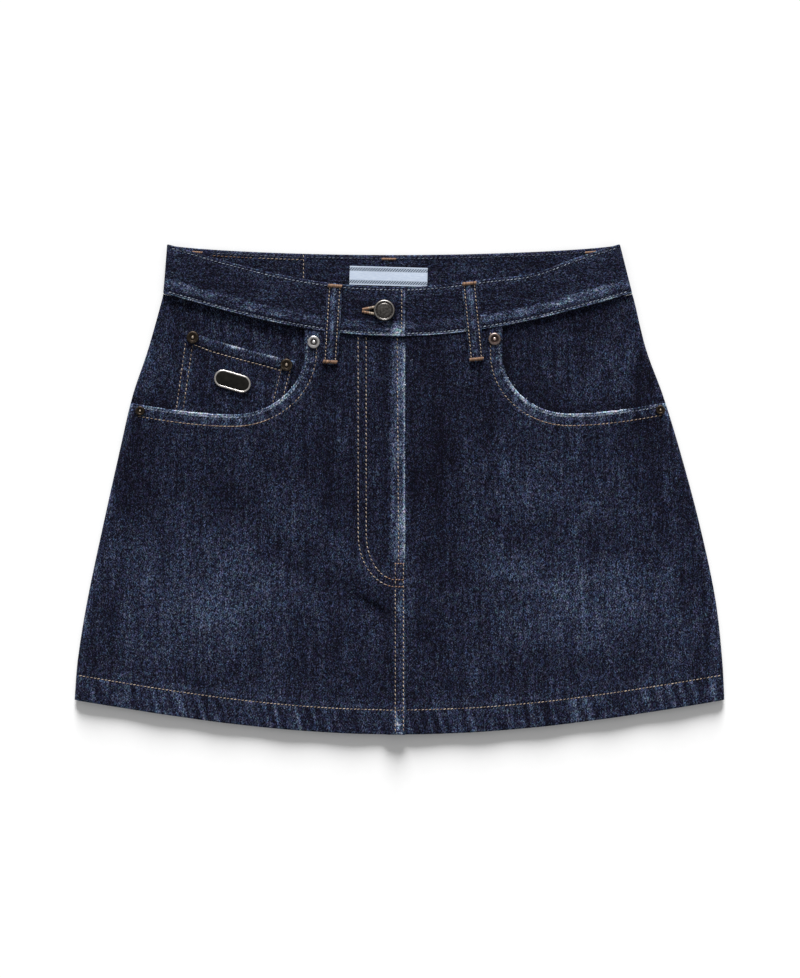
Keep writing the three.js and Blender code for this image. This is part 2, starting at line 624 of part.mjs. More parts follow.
const skirt = new THREE.Group();
skirt.add(
  backPanel(),
  leftFrontPanel(),
  rightFrontPanel(),
  pocketFacing('pocket_facing_left', LEFT_FRONT, LEFT_COLUMNS, POCKETS.left, FACING_DEPTH_UNDER_COIN),
  pocketFacing('pocket_facing_right', RIGHT_FRONT, RIGHT_COLUMNS, POCKETS.right, FACING_DEPTH),
  coinPocket(),
  waistband(),
  ...Object.entries(FRONT_LOOPS).map(([name, loop]) => frontLoop(name, loop)),
  ...Object.entries(BACK_LOOPS).map(([name, loop]) => backLoop(name, loop)),
  label(),
  badge(),
  button(),
  ...Object.entries(RIVETS).map(([name, place]) => rivet(name, place)),
);

export default skirt;
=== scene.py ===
"""The looks of a denim mini skirt that is laid flat, face up, built around its packed solids.

Sizes are in millimetres until a mesh is made: x to the right, y from hem to waist, z up from the table.
`up` is the height that a line of the cloth has at the side seams: between them it bows down to the hem.
"""
import math
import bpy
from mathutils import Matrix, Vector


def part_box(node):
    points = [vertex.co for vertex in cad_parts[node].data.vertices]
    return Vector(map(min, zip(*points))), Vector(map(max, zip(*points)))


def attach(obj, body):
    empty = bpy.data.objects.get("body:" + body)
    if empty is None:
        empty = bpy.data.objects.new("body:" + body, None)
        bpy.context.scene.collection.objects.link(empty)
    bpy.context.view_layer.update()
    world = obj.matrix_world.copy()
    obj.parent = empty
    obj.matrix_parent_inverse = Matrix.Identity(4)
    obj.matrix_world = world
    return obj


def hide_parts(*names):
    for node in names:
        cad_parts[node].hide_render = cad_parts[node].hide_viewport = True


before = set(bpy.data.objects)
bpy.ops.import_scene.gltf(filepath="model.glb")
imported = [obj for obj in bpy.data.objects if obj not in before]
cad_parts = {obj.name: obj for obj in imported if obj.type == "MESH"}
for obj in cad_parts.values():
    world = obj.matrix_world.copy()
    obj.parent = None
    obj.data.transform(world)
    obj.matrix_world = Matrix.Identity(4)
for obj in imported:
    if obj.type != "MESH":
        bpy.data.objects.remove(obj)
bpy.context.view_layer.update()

from types import SimpleNamespace

import bpy
import numpy as np

MM = 0.001

# The garment's sizes, as its solids have them
LENGTH = 392.4
HEM_BOW = 27.6
FRONT_DIP = 34.6
BACK_DIP = 8.5
BACK_FULLNESS = 0.6
WAIST_SAG_X = 107
WAIST_SAG_WIDTH = 26
WAIST_SAG_DROP = 4
BAND_HEIGHT = 39.6
CLOTH = 1.2
BAND_THICK = 2.4
HEM_THICK = 2.6
HEM_HEIGHT = 20
LOOP_THICK = 1.6
LOOP_WIDTH = 12.2
LOOP_LENGTH = 65
COIN_THICK = 0.9
FACING_THICK = 1
GAP = 0.3
SLIDE_GAP = 0.4
SIDE_ROUND = 7
BAND_SIDE_ROUND = 6
WAIST_SIDE = LENGTH / 2
SEAM_SIDE = WAIST_SIDE - BAND_HEIGHT
HEM_SIDE = HEM_BOW - LENGTH / 2
BACK_HEM_SIDE = HEM_SIDE + 0.8

# up, left edge, right edge
OUTLINE = [
    (-168.6, -260.4, 260.4),
    (-136, -257.8, 258.6),
    (-88, -250, 253.2),
    (-31, -238, 241.2),
    (26.6, -225.2, 226),
    (74.6, -214, 211.4),
    (112.6, -201.2, 197.4),
    (150.8, -190.4, 188),
    (156.6, -189.2, 186.4),
    (196.2, -186, 176.4),
]
# up, level of the front's outer face above the table
FRONT_LEVELS = [
    (-168.6, 6), (-150, 6), (-128, 5.2), (-40, 4.8), (20, 5.4),
    (64, 6.4), (110, 7), (130, 7.3), (156.6, 7.6),
]
BAND_LEVEL = 8.2
BACK_BAND_LEVEL = 2
BACK_PANEL_LEVEL = 2
BACK_LIFT = (90, 130)
SEAM_PLANE = 2.4
SEAM_PLANE_LIFT = 1.7

# Folds as soft troughs and ridges on an arc: from x, y, to x, y, bulge, width, rise
LARGE_FOLDS = [
    (-158, 22, -8, -98, -18, 13, -0.8),
    (-128, 34, -14, -70, -14, 12, 0.6),
    (30, 112, 28, -60, 4, 13, -0.8),
    (56, -10, 168, -22, 6, 12, 0.7),
    (50, -34, 166, -54, 8, 12, -0.6),
    (-196, 30, -232, -140, 5, 15, 0.6),
    (214, 30, 226, -140, -6, 15, 0.6),
    (-180, -100, -128, -104, 0, 42, 0.8),
    (150, -92, 200, -96, 0, 42, 0.8),
]
SMALL_CREASES = [
    (-64, 96, -58, -84, 3, 5, -0.35),
    (-46, 100, -44, -60, -2, 4, 0.22),
    (14, 118, 13, -70, -1.5, 4.5, -0.4),
    (21, 70, 22, -66, 2, 4, 0.25),
    (70, 86, 74, -30, 4, 7, -0.35),
    (-30, -84, -7, -101, -2, 4, -0.4),
    (8, -84, 34, -108, 4, 4.5, -0.3),
    (-92, 44, -48, -46, -5, 6, 0.3),
    (-112, 40, -60, -62, -6, 5, -0.25),
    (46, 22, 150, 18, -5, 6, 0.22),
    (52, -64, 128, -84, 5, 6, 0.25),
    (60, -86, 150, -112, 4, 7, -0.25),
    (-236, -60, -150, -52, 6, 8, 0.22),
    (-214, 6, -120, -2, -5, 7, -0.22),
    (-222, -128, -120, -140, 4, 8, 0.22),
    (92, -132, 210, -142, -4, 8, -0.2),
    (180, 20, 128, -40, 6, 7, 0.25),
    (196, 34, 214, -56, 3, 6, -0.3),
]
FACING_CREASES = [
    (-196, 108, -192, 70, 2, 5, -0.3),
    (-120, 140, -96, 112, -2, 5, -0.2),
    (196, 104, 193, 74, -3, 4.5, -0.8),
    (184, 118, 176, 78, 3, 6, 0.35),
    (118, 128, 132, 84, 3, 6, -0.2),
    (100, 118, 158, 112, 3, 7, 0.2),
]
BACK_CREASES = [
    (-150, 60, -60, -70, 12, 13, -0.7),
    (130, 74, 40, -60, -10, 13, -0.7),
    (-20, 90, -34, -90, 5, 10, 0.5),
    (60, 20, 170, -8, -8, 11, -0.5),
    (-190, -40, -90, -76, 8, 12, 0.5),
    (-60, -100, 60, -112, -6, 9, -0.35),
    (-170, 100, -140, 30, 4, 8, -0.4),
    (160, 100, 190, 0, -6, 9, -0.4),
    (10, 60, 12, -40, -4, 6, 0.3),
    (100, -70, 200, -110, 6, 9, 0.4),
]
FOLD_END = 0.12
HEM_WAVE_RISE = 0.35
HEM_WAVE_LENGTH = 52
HEM_WAVE_FADE = 60

# Centre front: the left front laps over the right, above as the fly and below as a felled seam
FRONT_EDGE_X = 4.6
FLY_UNDERLAP = 11
FLY_RISE = CLOTH + SLIDE_GAP
FLY_FOOT = -78
FLY_FOOT_BLEND = 22
FLY_SLOPE = (50, 35)
FELL_SLOPE = (20, 11.5)
HEM_LAP_BLEND = 8
TAB_UNDERLAP = 28
TAB_RISE = BAND_THICK + SLIDE_GAP
TAB_SLOPE = (62, 31)
# The two rows of the fly's curved seam: down beside the fly, then a quarter of an ellipse round to its foot
FLY_CURVE_CENTRE = (-2, -36)
FLY_CURVE_OUTER = (31, 42.2)
FLY_CURVE_INNER = (24.6, 36.6)
FLY_STITCH_X = (-1.8, -0.6)
FELL_ROWS_X = (-3.3, 3.2)
BOX_TACK = (-4.2, 4.1, -59.5, -71)

POCKET_LEFT = SimpleNamespace(side=-1, mouth_x=-75.6, bend_y=110, low_x=-133, low_y=59.4, side_y=68.6)
POCKET_RIGHT = SimpleNamespace(side=1, mouth_x=82, bend_y=108, low_x=136, low_y=60, side_y=69.4)
POCKET_SIDE_X = 214
POCKET_ROWS = (2.3, 9.2)
POCKET_BAND = 11.4
FACING_FOOT = 48
FACING_INNER_X = 60
FACING_DEPTH = CLOTH + SLIDE_GAP
FACING_DEPTH_UNDER_COIN = CLOTH + GAP + COIN_THICK + GAP
SIDE_OVERLAP = 4
FACING_STEP = (186, 200)
COIN_TOP_LEFT = (-171.2, 127)
COIN_TOP_RIGHT = (-83.6, 102.4)
COIN_FOOT_RIGHT = (-97.5, 51)
COIN_FOOT_LEFT = (-181.4, 53)
COIN_DEPTH = CLOTH + GAP

BUTTON_X = -12.1
BUTTON_Y = 142.6
BUTTONHOLE_EYE = 3.1
BUTTONHOLE_TAIL = 17
BADGE = SimpleNamespace(x=-133.6, y=86.4, length=30, height=14, thick=1.4, tilt=-16.3)
LABEL = SimpleNamespace(left=-40.2, right=22.6, top=178.8, foot=161.4, thick=0.5)
LABEL_HEIGHT = 15
LABEL_TURN = -1.6
LABEL_MIDDLE = ((LABEL.left + LABEL.right) / 2, (LABEL.top + LABEL.foot) / 2 + 0.35)
# name: top x, top y, lean in degrees
FRONT_LOOPS = {
    "belt_loop_front_left": (-51.4, 164.4, -3.6),
    "belt_loop_front_right": (55.4, 166.4, 5.6),
}
BACK_LOOPS = {
    "belt_loop_back_left": (-162, -4),
    "belt_loop_back_centre": (-8.5, 0),
    "belt_loop_back_right": (152.9, 4),
}
LOOP_ARCH = [(0, 0.3), (0.1, 0.5), (0.35, 1.2), (0.65, 1.3), (0.9, 0.6), (1, 0.3)]


def ramp(x, start, stop):
    """0 before start, 1 past stop and 3t² - 2t³ of the share t between them, whichever is the larger."""
    t = np.clip((x - start) / (stop - start), 0, 1)
    return t * t * (3 - 2 * t)


def bell(off, width):
    """A soft bump of height 1: e to the minus (off / width)²."""
    return np.exp(-((off / width) ** 2))


def lerp(a, b, share):
    return a + (b - a) * share


def curve_through(rows, column):
    """A smooth curve through one column of a table against its first column: cubic pieces whose slope at each
    row is that of the line between the rows before and after it."""
    table = np.array(rows, float)
    key = table[:, 0]
    value = table[:, column]
    last = len(key) - 1
    order = np.arange(last + 1)
    before = np.maximum(order - 1, 0)
    after = np.minimum(order + 1, last)
    slope = (value[after] - value[before]) / (key[after] - key[before])

    def curve(at):
        i = np.clip(np.searchsorted(key, at) - 1, 0, last - 1)
        span = key[i + 1] - key[i]
        t = np.clip((at - key[i]) / span, 0, 1)
        rise = value[i + 1] - value[i]
        bend = span * t * (1 - t) * (slope[i] * (1 - t) - slope[i + 1] * t)
        return value[i] + rise * t * t * (3 - 2 * t) + bend

    return curve


left_edge = curve_through(OUTLINE, 1)
right_edge = curve_through(OUTLINE, 2)
front_base_level = curve_through(FRONT_LEVELS, 1)
loop_lift = curve_through(LOOP_ARCH, 1)


def swell(x, y, size, seed):
    """Smooth random swells about `size` across, from -1 to 1: random heights on a square lattice, blended
    between its points by 3t² - 2t³."""
    count = 64
    lattice = np.random.default_rng(seed).uniform(-1, 1, (count, count))
    u = x / size
    v = y / size
    i = np.floor(u).astype(int)
    j = np.floor(v).astype(int)
    s = ramp(u - i, 0, 1)
    t = ramp(v - j, 0, 1)
    low = lerp(lattice[i % count, j % count], lattice[(i + 1) % count, j % count], s)
    high = lerp(lattice[i % count, (j + 1) % count], lattice[(i + 1) % count, (j + 1) % count], s)
    return lerp(low, high, t)


def bow(x, up):
    """How far the cloth's cross lines bow down: a cosine, 1 in the middle and 0 at the side seams."""
    middle = (left_edge(up) + right_edge(up)) / 2
    half = (right_edge(up) - left_edge(up)) / 2
    return np.cos(math.pi / 2 * np.clip((x - middle) / half, -1, 1))


def height_at(face, x, up):
    """y of the line `up` at x: up less the bow, which grows from the hem's to the face's dip at the waist."""
    share = np.clip((up - HEM_SIDE) / (SEAM_SIDE - HEM_SIDE), 0, 1)
    in_band = (up - SEAM_SIDE) / BAND_HEIGHT
    slack = face.sag * bell(x - WAIST_SAG_X, WAIST_SAG_WIDTH) * in_band
    return up - bow(x, up) ** lerp(1, face.fullness, share) * lerp(HEM_BOW, face.dip, share) - slack


def up_at(face, x, y):
    """The line that passes through (x, y), found by repeated correction."""
    up = np.array(y, float)
    for _ in range(12):
        up = up + y - height_at(face, x, up)
    return up


def folds(x, y, listed):
    """All listed folds at a point: a bell across each arc, fading along it as a sine. The arc leaves the
    straight line between its ends by its bulge in the middle, as a parabola."""
    total = np.zeros(np.broadcast(x, y).shape)
    for from_x, from_y, to_x, to_y, bulge, width, rise in listed:
        along_x = to_x - from_x
        along_y = to_y - from_y
        length = math.hypot(along_x, along_y)
        t = ((x - from_x) * along_x + (y - from_y) * along_y) / length ** 2
        across = ((y - from_y) * along_x - (x - from_x) * along_y) / length
        inside = np.clip(t, 0, 1)
        off = np.hypot(across - bulge * 4 * inside * (1 - inside), (t - inside) * length)
        fade = np.sin(math.pi * lerp(FOLD_END, 1 - FOLD_END, inside))
        total = total + rise * fade * bell(off, width)
    return total


def near(path, x, y):
    """Distance from each point to a path of straight pieces, and how far along the path the nearest place
    is."""
    best = np.full(np.broadcast(x, y).shape, np.inf)
    along = np.zeros(best.shape)
    before = 0
    for (from_x, from_y), (to_x, to_y) in zip(path[:-1], path[1:]):
        step_x = to_x - from_x
        step_y = to_y - from_y
        length = math.hypot(step_x, step_y)
        t = np.clip(((x - from_x) * step_x + (y - from_y) * step_y) / length ** 2, 0, 1)
        away = np.hypot(x - from_x - t * step_x, y - from_y - t * step_y)
        closer = away < best
        best = np.where(closer, away, best)
        along = np.where(closer, before + t * length, along)
        before += length
    return best, along


def arc(centre, radii, start, stop, count=24):
    """Points on an ellipse between two angles in degrees."""
    turn = np.radians(np.linspace(start, stop, count + 1))
    return np.column_stack([centre[0] + radii[0] * np.cos(turn), centre[1] + radii[1] * np.sin(turn)])


def turned_by(degrees, x, y):
    """A place turned anticlockwise about the origin."""
    cosine = math.cos(math.radians(degrees))
    sine = math.sin(math.radians(degrees))
    return x * cosine - y * sine, x * sine + y * cosine


def beside(path, offset):
    """A path moved sideways by offset, to the left of its travel: each point goes along its own normal."""
    ahead = np.gradient(path, axis=0)
    ahead /= np.linalg.norm(ahead, axis=1)[:, None]
    return path + offset * np.column_stack([-ahead[:, 1], ahead[:, 0]])


def pocket_edge(pocket, top=150):
    """The edge of a pocket opening from the waist seam to the side seam: a straight line, a quarter of an
    ellipse and a quadratic curve."""
    line = np.column_stack([np.full(12, pocket.mouth_x), np.linspace(top, pocket.bend_y, 13)[:-1]])
    radii = (abs(pocket.low_x - pocket.mouth_x), pocket.bend_y - pocket.low_y)
    start = 360 if pocket.side < 0 else 180
    round_part = arc((pocket.low_x, pocket.bend_y), radii, start, 270, 28)
    t = np.linspace(0, 1, 17)[1:, None]
    side_x = pocket.side * POCKET_SIDE_X
    low = np.array([pocket.low_x, pocket.low_y])
    handle = np.array([lerp(pocket.low_x, side_x, 0.4), pocket.low_y])
    end = np.array([side_x, pocket.side_y])
    slow = (1 - t) ** 2 * low + 2 * t * (1 - t) * handle + t ** 2 * end
    return np.concatenate([line, round_part, slow])


def fly_curve(radii, top, foot_x):
    """A row of the fly's curved seam, from the waist seam down to its foot at the centre front."""
    centre_x, centre_y = FLY_CURVE_CENTRE
    side_x = centre_x - radii[0]
    lines = [[(side_x, top)], arc(FLY_CURVE_CENTRE, radii, 180, 270), [(foot_x, centre_y - radii[1])]]
    return np.concatenate(lines)


# Edges and seam rows that shape the cloth and carry stitches
EDGE_LEFT = pocket_edge(POCKET_LEFT)
EDGE_RIGHT = pocket_edge(POCKET_RIGHT)
FLY_OUTER = fly_curve(FLY_CURVE_OUTER, 122, 3.6)
FLY_INNER = fly_curve(FLY_CURVE_INNER, 122, 3.6)
FLY_EDGE_ROW = np.array([(FLY_STITCH_X[0], 121.5), (FLY_STITCH_X[1], -58.5)])


def new_piece(name, points, groups, finish, smooth_below=50):
    """An object from points in mm and groups of faces: each group is an array with one face's corners a
    row."""
    mesh = bpy.data.meshes.new(name)
    points = np.asarray(points, float).reshape(-1, 3) * MM
    corners = np.concatenate([group.ravel() for group in groups])
    sizes = np.concatenate([np.full(len(group), group.shape[1]) for group in groups])
    mesh.vertices.add(len(points))
    mesh.vertices.foreach_set("co", points.ravel())
    mesh.loops.add(len(corners))
    mesh.loops.foreach_set("vertex_index", corners)
    mesh.polygons.add(len(sizes))
    mesh.polygons.foreach_set("loop_start", np.cumsum(sizes) - sizes)
    mesh.update(calc_edges=True)
    mesh.validate()
    mesh.shade_smooth()
    mesh.set_sharp_from_angle(angle=math.radians(smooth_below))
    piece = bpy.data.objects.new(name, mesh)
    bpy.context.scene.collection.objects.link(piece)
    mesh.materials.append(finish)
    return piece


def points_of(piece):
    """The piece's points in mm."""
    flat = np.empty(len(piece.data.vertices) * 3, np.float32)
    piece.data.vertices.foreach_get("co", flat)
    return flat.reshape(-1, 3).astype(float) / MM


def mark(piece, name, values):
    """Stores one number a point, for the finish to read."""
    stored = piece.data.attributes.new(name, "FLOAT", "POINT")
    stored.data.foreach_set("value", np.asarray(values, np.float32))


def place(piece, slot, *nodes):
    """The piece rides with the garment and stands for the solids that it replaces, which it hides. Its slot
    is not used.
    """
    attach(piece, "root")
    if nodes:
        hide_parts(*nodes)
    return piece


def grid_faces(first, columns, rows):
    """Four-sided faces of a grid numbered column by column. Columns run to the left, seen from outside."""
    i, j = np.meshgrid(np.arange(columns - 1), np.arange(rows - 1), indexing="ij")
    at = first + i * rows + j
    return np.stack([at, at + 1, at + rows + 1, at + rows], -1).reshape(-1, 4)


def closed_shell(outer, inner, every):
    """Closes a fine outer grid to an inner one that has only every so many of its columns and rows. Each rim
    face takes that many outer edges and one inner edge."""
    columns, rows = outer.shape[:2]
    inner = inner[::every, ::every]
    first = columns * rows
    in_columns, in_rows = inner.shape[:2]
    out = np.arange(first).reshape(columns, rows)
    inn = first + np.arange(in_columns * in_rows).reshape(in_columns, in_rows)

    def rim(out_line, in_line, turned_round):
        fine = [out_line[k:len(out_line) - every + k:every] for k in range(every + 1)]
        faces = np.stack(fine + [in_line[1:], in_line[:-1]], -1)
        return faces[:, ::-1] if turned_round else faces

    faces = [
        grid_faces(0, columns, rows),
        grid_faces(first, in_columns, in_rows)[:, ::-1],
        rim(out[:, 0], inn[:, 0], False),
        rim(out[:, -1], inn[:, -1], True),
        rim(out[0], inn[0], True),
        rim(out[-1], inn[-1], False),
    ]
    return np.concatenate([outer.reshape(-1, 3), inner.reshape(-1, 3)]), faces


def stations(every, *stretches):
    """Places along a line: each stretch goes to its end in about its step. Their number suits the shell."""
    places = [np.array([stretches[0][0]], float)]
    for end, step in stretches[1:]:
        start = places[-1][-1]
        count = max(1, round(abs(end - start) / step))
        places.append(np.linspace(start, end, count + 1)[1:])
    line = np.concatenate(places)
    spare = (len(line) - 1) % every
    if spare:
        extra = np.linspace(line[-2], line[-1], every - spare + 2)[1:-1]
        line = np.concatenate([line[:-1], extra, line[-1:]])
    return line


# Relief of the front, added to its level
def hem_rope(x, above_hem):
    """The twist that a turned hem takes on in the wash: uneven ridges that slant a little, from -1 to 1."""
    slant = x + 0.25 * above_hem
    wide = swell(slant, x * 0, 5.2, 5)
    fine = swell(slant, x * 0, 3, 15)
    even = np.sin(2 * math.pi * slant / 9.2 + 5 * swell(x, x * 0, 31, 16))
    return np.clip(0.55 * wide + 0.45 * fine + 0.4 * even, -1, 1)


def front_relief(side, x, y, up):
    """Soft swells and creases of the cloth, the roped hem, the grooves of the stitch rows and the raised
    bands of the seams, summed in mm."""
    above_hem = up - HEM_SIDE
    in_hem = ramp(above_hem, HEM_HEIGHT + 1.6, HEM_HEIGHT - 0.4)
    rope = hem_rope(x, above_hem)
    rise = 0.32 * swell(x, y, 46, 1) + 0.14 * swell(x, y, 17, 2) + 0.06 * swell(x, y * 0.4, 6, 3)
    rise = rise * (1 - 0.6 * in_hem) + folds(x, y, SMALL_CREASES)
    rise += in_hem * (0.3 + 0.2 * rope * np.sin(math.pi * np.clip(above_hem / HEM_HEIGHT, 0, 1)))
    rise += 0.14 * bell(above_hem - HEM_HEIGHT - 4, 2.5) * (1 + 0.6 * rope)
    rise -= 0.34 * bell(above_hem - HEM_HEIGHT, 0.9)
    rise -= 0.5 * ramp(above_hem, 1.2, 0)
    edge = EDGE_LEFT if side < 0 else EDGE_RIGHT
    off, along = near(edge, x, y)
    pucker = np.sin(2 * math.pi * along / 8.5 + 2 * swell(along, along * 0, 23, 6))
    middle = np.sin(math.pi * np.clip((off - 1) / (POCKET_BAND - 1), 0, 1))
    rise += ramp(off, POCKET_BAND + 0.8, POCKET_BAND - 1.2) * 0.35 + 0.16 * middle * pucker
    for row in POCKET_ROWS:
        rise -= 0.3 * bell(off - row, 0.8)
    rise -= 0.4 * ramp(off, 0.9, 0)
    if side < 0:
        rise += left_front_seams(x, y)
    return rise


def left_front_seams(x, y):
    """Relief of the fly and the felled seam: a ridge along the folded edge, grooves at the stitch rows, and
    small puckers between the two rows of the felled seam like the rungs of a ladder."""
    in_fly = ramp(y, -84, -72)
    back = FRONT_EDGE_X - x
    rise = 0.3 * in_fly * ramp(back, 12.5, 10) * (1 + 0.4 * swell(x * 0.3, y, 9, 7))
    rise -= 0.28 * in_fly * bell(x - np.interp(y, FLY_EDGE_ROW[::-1, 1], FLY_EDGE_ROW[::-1, 0]), 0.8)
    outer = near(FLY_OUTER, x, y)[0]
    inner = near(FLY_INNER, x, y)[0]
    rise -= 0.26 * bell(outer, 0.8) + 0.26 * bell(inner, 0.8)
    between = (x - FELL_ROWS_X[0]) / (FELL_ROWS_X[1] - FELL_ROWS_X[0])
    rungs = np.sin(2 * math.pi * y / 3.5) * np.sin(math.pi * np.clip(between, 0, 1))
    below = 1 - ramp(y, -78, -70)
    rise += below * (0.2 * rungs + 0.25 * ramp(back, 10, 8))
    for row in FELL_ROWS_X:
        rise -= 0.26 * below * bell(x - row, 0.7)
    return rise - 0.5 * ramp(back, 1.1, 0)


def front_level(x, y, up):
    hem_share = ramp(up, HEM_SIDE + HEM_WAVE_FADE, HEM_SIDE)
    wave = HEM_WAVE_RISE * hem_share * np.sin(2 * math.pi * x / HEM_WAVE_LENGTH)
    return front_base_level(up) + folds(x, y, LARGE_FOLDS) + wave


def lap_rise(x, y, up):
    """How far the left front stands over what it laps: the whole fly above its foot, the felled seam
    below."""
    in_fly = ramp(y, FLY_FOOT - FLY_FOOT_BLEND, FLY_FOOT)
    start = FRONT_EDGE_X - lerp(FELL_SLOPE[0], FLY_SLOPE[0], in_fly)
    stop = FRONT_EDGE_X - lerp(FELL_SLOPE[1], FLY_SLOPE[1], in_fly)
    over_hem = ramp(up, HEM_SIDE + HEM_HEIGHT + HEM_LAP_BLEND, HEM_SIDE + HEM_HEIGHT)
    return lerp(FLY_RISE, HEM_THICK + SLIDE_GAP, over_hem) * ramp(x, start, stop)


def left_front_level(x, y, up):
    return front_level(x, y, up) + lap_rise(x, y, up)


def left_front_surface(x, y, up):
    return left_front_level(x, y, up) + front_relief(-1, x, y, up)


def right_front_surface(x, y, up):
    return front_level(x, y, up) + front_relief(1, x, y, up)


def back_level(x, y, up):
    """The back's outer face, which looks down: flat on the table, and lifted towards the waist."""
    return BACK_PANEL_LEVEL * ramp(up, *BACK_LIFT)


def back_surface(x, y, up):
    """The back's outer face, hollowed upwards in soft folds where it doesn't lie on the table, and in the hem
    between the ridges of its twist."""
    above_hem = up - BACK_HEM_SIDE
    groove = 0.04 + 0.45 * bell(above_hem - HEM_HEIGHT, 0.9)
    groove += 0.12 * (1 - hem_rope(x + 70, above_hem)) * ramp(above_hem, HEM_HEIGHT + 1, HEM_HEIGHT - 1)
    hollow = np.abs(folds(x, y, BACK_CREASES)) + 0.12 * (1 + swell(x, y, 30, 8))
    return back_level(x, y, up) + hollow * ramp(above_hem, 16, 40) + groove


def facing_relief(x, y):
    return folds(x, y, FACING_CREASES) + 0.14 * swell(x, y, 22, 9) - 0.1


def lapped_band_level(x):
    return BAND_LEVEL + TAB_RISE * ramp(x, FRONT_EDGE_X - TAB_SLOPE[0], FRONT_EDGE_X - TAB_SLOPE[1])


def band_relief(x, up):
    """The band's outer face: stitch grooves along both edges, a ridge over the seam allowance, slow swells
    and fine puckers beside the seam."""
    pucker = np.sin(2 * math.pi * x / 6.5 + 3 * swell(x, x * 0, 20, 11))
    rise = 0.16 * swell(x, up, 26, 10) + 0.05 * swell(x, up, 7, 12)
    rise += 0.24 * ramp(up, SEAM_SIDE + 14, SEAM_SIDE + 10)
    rise += 0.08 * pucker * bell(up - SEAM_SIDE - 5.5, 4)
    for row in BAND_ROWS:
        rise -= 0.24 * bell(up - row, 0.8)
    return rise


def seam_plane(up):
    return SEAM_PLANE + SEAM_PLANE_LIFT * ramp(up, *BACK_LIFT)


def band_seam_plane(up):
    return np.full(np.shape(up), (BAND_LEVEL + BACK_BAND_LEVEL) / 2)


BAND_ROWS = (SEAM_SIDE + 2.3, WAIST_SIDE - 2.6)


def front_face(level):
    """A face of the front: which way it bows, how full it is, its level and where it rounds off."""
    return SimpleNamespace(
        sign=1, dip=FRONT_DIP, fullness=1, sag=0, level=level, seam=seam_plane, round=SIDE_ROUND,
    )


LEFT_FRONT = front_face(left_front_surface)
RIGHT_FRONT = front_face(right_front_surface)
PLAIN_LEFT = front_face(left_front_level)
PLAIN_RIGHT = front_face(front_level)
BACK = SimpleNamespace(
    sign=-1, dip=BACK_DIP, fullness=BACK_FULLNESS, sag=0, level=back_surface,
    seam=lambda up: seam_plane(up) - GAP, round=SIDE_ROUND,
)
PLAIN_BACK = SimpleNamespace(**{**vars(BACK), "level": back_level})


def band_face(level, sag=0):
    return SimpleNamespace(
        sign=1, dip=FRONT_DIP, fullness=1, sag=sag, level=level, seam=band_seam_plane, round=BAND_SIDE_ROUND,
    )


LEFT_BAND = band_face(lambda x, y, up: lapped_band_level(x) + band_relief(x, up))
RIGHT_BAND = band_face(lambda x, y, up: BAND_LEVEL + band_relief(x, up), WAIST_SAG_DROP)
BACK_BAND = SimpleNamespace(
    sign=-1, dip=BACK_DIP, fullness=BACK_FULLNESS, sag=0,
    level=lambda x, y, up: BACK_BAND_LEVEL - band_relief(x, up) * 0.6, seam=band_seam_plane,
    round=BAND_SIDE_ROUND,
)


def flat_end(face, side, up):
    """Where the flat part of a face ends, beside the rounded edge of a side seam."""
    return left_edge(up) + face.round if side < 0 else right_edge(up) - face.round


def wall(face, flat_x, side, turn, up, depth, inset):
    """Points `depth` in from a face. On the rounded edge the wall turns to the seam plane on a quarter of an
    ellipse: x goes out with the sine of the turn and the height above the plane falls with its cosine."""
    x = flat_x + side * (face.round - inset) * np.sin(turn)
    y = height_at(face, x, up)
    level = face.level(flat_x, y, up)
    seam = face.seam(up)
    fall = np.abs(level - seam)
    within = np.where(turn > 0, np.minimum(depth, fall - GAP), depth)
    return np.stack([x, y, seam + face.sign * (fall - within) * np.cos(turn)], -1)


def front_columns(face, side, near_x, ups, step, turns=8):
    """Columns from the front edge to a side seam: first the given x, then even shares of the way to the
    rounded edge, then turns round it. Gives flat x and turn for each column and height."""
    start = near_x[-1]
    count = max(2, round(abs(flat_end(face, side, np.array(ups[0])) - start) / step))
    shares = np.linspace(0, 1, count + 1)[1:, None]
    middle = lerp(start, flat_end(face, side, ups)[None, :], shares)
    end = np.repeat(flat_end(face, side, ups)[None, :], turns, 0)
    flat = np.concatenate([np.repeat(near_x[:, None], len(ups), 1), middle, end])
    turn = np.zeros(flat.shape)
    turn[-turns:] = np.linspace(0, math.pi / 2, turns + 1)[1:, None]
    return flat, turn


def suited(flat, turn, every):
    """Adds columns beside the first, so that the number of columns suits the shell."""
    spare = (len(flat) - 1) % every
    if not spare:
        return flat, turn
    shares = np.linspace(0, 1, every - spare + 2)[1:-1, None]
    extra = lerp(flat[:1], flat[1:2], shares)
    flat = np.concatenate([flat[:1], extra, flat[1:]])
    return flat, np.concatenate([turn[:1], turn[:1].repeat(len(extra), 0), turn[1:]])


SHELL_STEP = 4


def turned_hem(hem_side, up):
    return lerp(HEM_THICK, CLOTH, ramp(up, hem_side + HEM_HEIGHT, hem_side + HEM_HEIGHT + 2))


